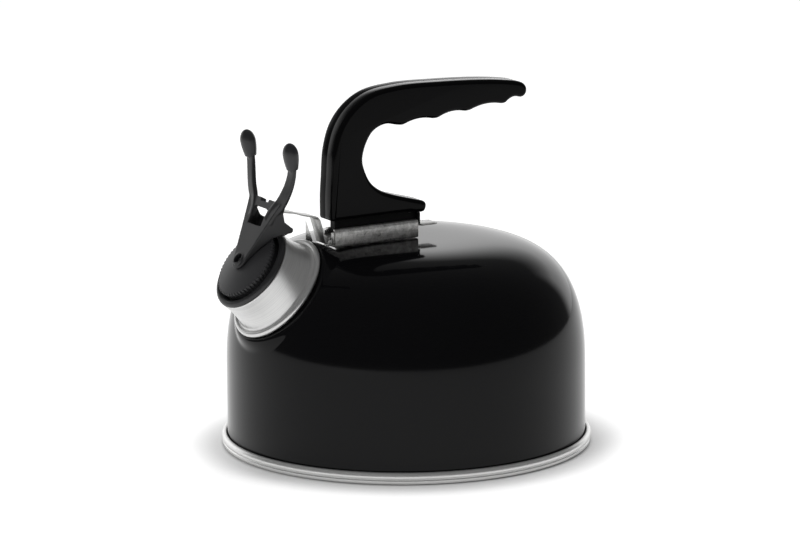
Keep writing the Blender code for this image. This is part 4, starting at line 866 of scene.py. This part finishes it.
def channel_outline():
    """(y, z) section of the channel with the corners of its folds, inside and outside."""
    inner, low, high = BRACKET_HALF - BRACKET_SHEET, BRACKET_LOW + BRACKET_SHEET, BRACKET_HIGH - BRACKET_SHEET
    outer = [(-SLOT_HALF, BRACKET_HIGH), (-BRACKET_HALF, BRACKET_HIGH), (-BRACKET_HALF, BRACKET_LOW),
             (BRACKET_HALF, BRACKET_LOW), (BRACKET_HALF, BRACKET_HIGH), (SLOT_HALF, BRACKET_HIGH)]
    inside = [(SLOT_HALF, high), (inner, high), (inner, low),
              (-inner, low), (-inner, high), (-SLOT_HALF, high)]
    lip, fold, top, press = 0.1, 1.0, 2.1, 0.9
    reach = np.array([lip, top, fold, fold, top, lip, lip, press, press, press, press, lip]) * MM
    return rounded(outer + inside, reach, 6)


def drill_for_rivets(piece, high):
    """Upright holes for the two rivets, up to a height."""
    for station in RIVET_STATIONS:
        hole = rod("hole", RIVET_HOLE, 92 * MM, high, 25, Matrix.Translation((station, 0, 0)))
        cut(piece, "DIFFERENCE", hole)
    shaded(piece, 35)


bracket = extruded("handle_channel", channel_outline(), -BRACKET_RIGHT, -BRACKET_LEFT, ALONG_X)
round_edges(bracket, 0.12 * MM, 60)
drill_for_rivets(bracket, 94.5 * MM)
paint(bracket, scuffed_metal("scuffed_steel", (0.36, 0.355, 0.345), (0.90, 0.895, 0.88), 0.33, 0.3,
                             0.04 * MM, 420.0))
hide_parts("handle_bracket")
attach(bracket, "root")

# Liner, rivets and screws. The liner is a thin bright strip folded to a U inside the channel, with
# a foot, a low flap and an ear bent up at its left end. Rivet and screw heads are bright too.
LINER_LOW, LINER_TOP = 94.0 * MM, 99.7 * MM
LINER_HALF, LINER_SHEET = 3.5 * MM, 0.5 * MM
LINER_LEFT, LINER_RIGHT = -39.4 * MM, 3.7 * MM
LINER_ENDS = (("foot", (-43.6, -3.4, 94.0), (-38, 3.45, 94.5)),        # corners in mm
              ("sole", (-44.4, -4.1, 93.95), (-40.0, 5.2, 94.45)),
              ("flap", (-39.4, -3.2, 94.2), (-38.9, 3.2, 96.2)))
EAR_FRAME = axis_frame(Vector((-43.6, 4.5, 0)) * MM, Vector((-0.90, 0.436, 0)), Vector((0, 0, 1)))
EAR_OUTLINE = np.array([(0.5, 94.1), (3.9, 95.9), (3.9, 105.0)]) * MM
bright_steel = scuffed_metal("bright_steel", (0.55, 0.55, 0.54), (0.80, 0.80, 0.79), 0.22, 0.2,
                             0.008 * MM, 300.0)


def strip_box(name, low, high):
    """A plain block of strip between two corners."""
    outline = [(low[0], low[2]), (high[0], low[2]), (high[0], high[2]), (low[0], high[2])]
    return extruded(name, outline, low[1], high[1], Matrix.Identity(4))


inner, floor_top = LINER_HALF - LINER_SHEET, LINER_LOW + LINER_SHEET
u_corners = [(-LINER_HALF, LINER_TOP), (-LINER_HALF, LINER_LOW),
             (LINER_HALF, LINER_LOW), (LINER_HALF, LINER_TOP),
             (inner, LINER_TOP), (inner, floor_top), (-inner, floor_top), (-inner, LINER_TOP)]
u_outline = rounded(u_corners, np.array([0.1, 0.7, 0.7, 0.1, 0.1, 0.3, 0.3, 0.1]) * MM, 4)
liner = extruded("channel_liner", u_outline, -LINER_RIGHT, -LINER_LEFT, ALONG_X)
for name, low, high in LINER_ENDS:
    cut(liner, "UNION", strip_box(name, np.array(low) * MM, np.array(high) * MM))
cut(liner, "UNION", extruded("ear", EAR_OUTLINE, 0, 0.6 * MM, EAR_FRAME))
drill_for_rivets(liner, 96 * MM)
paint(liner, bright_steel)
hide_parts("bracket_liner")
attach(liner, "root")
for name in ("bracket_rivet_1", "bracket_rivet_2", "handle_screw_1", "handle_screw_2"):
    paint(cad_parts[name], bright_steel)

# Leaf spring. One strip of spring steel bent to shape: a release tongue at the right, a flat run
# under the rail, a foot, a leg, and a left tongue that reaches to the fork's window.
LEAF_THICK = 0.6 * MM
LEAF_HALF, TONGUE_HALF = 2.6 * MM, 4.2 * MM
LEAF_PATH = np.array([(14.5, 98.1), (6.4, 98.1), (-39.0, 98.1), (-41.9, 95.1), (-42.5, 95.2), (-44.2, 101.1),
                      (-45.8, 106.3), (-46.8, 107.5), (-53.9, 109.1), (-58.2, 110.7), (-68.2, 112.4)]) * MM
LEAF_BENDS = np.array([0, 1, 3, 1.1, 0.4, 2.5, 0.9, 0.9, 2.5, 2.5, 0]) * MM
LEAF_WIDTH_AT = np.array([0, 1.2, 8.0, 9.0, 56.0, 58.0, 200.0]) * MM       # along the path
LEAF_WIDTH = np.array([0.55, 1.0, 1.0, 0.0, 0.0, 1.0, 1.0])                # from leaf to tongue
LEAF_END, LEAF_DRAWN = 2 * MM, 0.9 * MM          # length of the round end and how far it draws in


def distances(line):
    """The distance along a line at each of its points."""
    return np.concatenate([[0], np.cumsum(np.linalg.norm(np.diff(line, axis=0), axis=1))])


def read_at(stations, along, line):
    """The two values of a line at stations along it."""
    return np.stack([np.interp(stations, along, line[:, axis]) for axis in (0, 1)], -1)


def leaf_surface():
    """A flat section carried along the strip's bent line.

    The line's corners are parabolas. Its half width goes from the leaf's to the tongue's by a
    share that is read at the distance along the line, and draws in by a quarter of an ellipse
    at the left end.
    """
    line = rounded(LEAF_PATH, LEAF_BENDS, 7, closed=False)
    ahead = unit(np.gradient(line, axis=0))
    normal = np.stack([ahead[:, 1], -ahead[:, 0]], -1)
    along = distances(line)
    stations = np.unique(np.concatenate([
        along, np.linspace(*LEAF_WIDTH_AT[:2], 5), along[-1] - np.linspace(0, LEAF_END, 5),
        np.linspace(*LEAF_WIDTH_AT[2:4], 4), np.linspace(*LEAF_WIDTH_AT[4:6], 4)]))
    line, normal = read_at(stations, along, line), read_at(stations, along, normal)
    share = np.interp(stations, LEAF_WIDTH_AT, LEAF_WIDTH)
    to_end = (1 - (along[-1] - stations) / LEAF_END).clip(0)
    left_end = np.sqrt(np.clip(1 - to_end ** 2, 0, 1))
    half = LEAF_HALF + (TONGUE_HALF - LEAF_HALF) * share - LEAF_DRAWN * (1 - left_end)
    y = np.array([-1, 1, 1, -1])[None, :] * half[:, None]
    side = np.array([-1, -1, 1, 1])[None, :] * LEAF_THICK / 2
    return np.stack([line[:, :1] + normal[:, :1] * side, y, line[:, 1:] + normal[:, 1:] * side], -1)


leaf = capped("leaf_strip", leaf_surface(), 30)
round_edges(leaf, 0.1 * MM, 50)
paint(leaf, scuffed_metal("spring_strip", (0.30, 0.30, 0.29), (0.56, 0.56, 0.55), 0.3, 0.25, 0.015 * MM))
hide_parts("leaf_spring")
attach(leaf, "leaf")

# Handle rail. Black moulded T that slides in the channel and closes its right end with a stop.
# Two screws hold it to the grip from below. It is black moulding, made a deeper black than the
# others as a painted shade in the gap between grip and channel.
# Painted shade: a deeper black than the other mouldings, for the dark gap under the grip.
paint(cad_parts["handle_rail"], uneven_material("rail_black_painted_shade", (0.004, 0.004, 0.004), 0.5,
                                                     constants={"Specular IOR Level": 0.1}))

# Grip. Glossy black moulded D, open at its right, with finger scallops under the top bar, rounded
# edges and a faint line where the two halves of its mould met.
GRIP_LEFT, GRIP_LOW = -40.6 * MM, 105.0 * MM
GRIP_HALF, GRIP_EDGE = 6.2, 1.9          # these and all below are in mm
GRIP_SPACING = 0.7                       # of the points round the outline
EDGE_LAYERS = 9
SEAM_DEPTH, SEAM_HALF = 0.07, 0.25
SCALLOP = 1.8
OUTER_RUN = [(0, 3.0), (0, 10), (0.6, 19), (1.6, 31), (4.9, 41.4), (11.1, 49.3), (20.8, 55.1), (36, 57.3),
             (58, 56.9), (76, 55.9), (88.7, 54.6), (97.8, 52.9), (100.3, 51.4), (101.2, 49.2), (100.5, 46.9),
             (98.2, 45.5)]
CRESTS = [(98.2, 45.5), (89.6, 43.5), (70.4, 42.0), (54.1, 40.3), (36.2, 39.0)]
LOOP_RUN = [(36.2, 39.45), (33.0, 40.0), (29.1, 40.8), (25.2, 40.1), (21.3, 37.8), (17.9, 32.4), (16.3, 26.0),
            (17.6, 20.5), (20.5, 15.2), (25.2, 11.4), (31.0, 9.0), (38.0, 6.9), (45.6, 4.8), (47.6, 4.2)]
TAIL_RUN = [(47.6, 4.2), (48.5, 3.2), (48.6, 1.6), (47.9, 0.0), (47.2, -0.7)]
FLOOR_RUN = [(47.2, -0.7), (41.6, -0.7), (41.4, 0.0), (0.4, 0.0), (0.0, 0.4), (0.0, 3.0)]


def scallops(steps):
    """Finger scallops: between two crests the line bows up by a parabola of its share of the way."""
    crest = np.array(CRESTS, float)
    share = np.linspace(0, 1, steps, endpoint=False)[None, :, None]
    line = crest[:-1, None] + (crest[1:] - crest[:-1])[:, None] * share
    bow = SCALLOP * (1 - (2 * share - 1) ** 2)
    soft = 0.25 * SCALLOP
    return (line + np.concatenate([0 * bow, np.maximum(bow, soft)], -1)).reshape(-1, 2)


def evenly(line, spacing):
    """The closed line read again at equal distances."""
    line = np.concatenate([line, line[:1]])
    along = distances(line)
    stations = np.linspace(0, along[-1], int(along[-1] / spacing), endpoint=False)
    return read_at(stations, along, line)


def blurred(values, reach):
    """Values round a closed line, each the mean of its neighbours within reach."""
    return np.mean([np.roll(values, step, 0) for step in range(-reach, reach + 1)], 0)


def grip_surface():
    """Layers of the side outline from one face of the grip to the other.

    The outline is drawn in by the edge's reach times one less a cosine as the layer nears a face,
    a quarter circle. Where the outline itself turns tightly the reach is held below its radius.
    """
    corners = [run_through(OUTER_RUN, 10)[:-1], scallops(14), run_through(LOOP_RUN, 8),
               run_through(TAIL_RUN, 6), rounded(FLOOR_RUN, 0.2, 3, closed=False)]
    outline = blurred(evenly(np.concatenate(corners), GRIP_SPACING), 1)[::-1]
    ahead = unit(np.roll(outline, -1, 0) - np.roll(outline, 1, 0))
    inward = np.stack([-ahead[:, 1], ahead[:, 0]], -1)
    bend = np.cross(np.roll(ahead, 2, 0), np.roll(ahead, -2, 0)) / (4 * GRIP_SPACING)
    radius = 1 / np.maximum(bend, 1e-3)
    reach = np.minimum(GRIP_EDGE, 0.75 * radius)
    reach = blurred(np.min([np.roll(reach, step) for step in range(-3, 4)], 0), 4)
    turn = np.linspace(math.pi / 2, 0, EDGE_LAYERS)
    edge_depth, edge_draw = GRIP_EDGE * (1 - np.sin(turn)) - GRIP_HALF, 1 - np.cos(turn)
    depth = np.concatenate([edge_depth, [-SEAM_HALF, 0, SEAM_HALF], -edge_depth[::-1]])
    draw = np.concatenate([edge_draw, [0, 0, 0], edge_draw[::-1]])
    seam = np.where(depth == 0, SEAM_DEPTH, 0.0)
    flat = outline[None] + inward[None] * (draw[:, None] * reach[None] + seam[:, None])[..., None]
    x, z = GRIP_LEFT + flat[..., 0] * MM, GRIP_LOW + flat[..., 1] * MM
    return np.stack([x, depth[:, None] * MM + 0 * x, z], -1)


grip = capped("d_grip", grip_surface(), 50)
paint(grip, uneven_material("gloss_black_grip", (0.003, 0.003, 0.0033), 0.15, 0.08, 0.005 * MM, 70.0, 900.0,
                            {"Specular IOR Level": 0.07}))
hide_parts("handle_grip")
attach(grip, "handle")
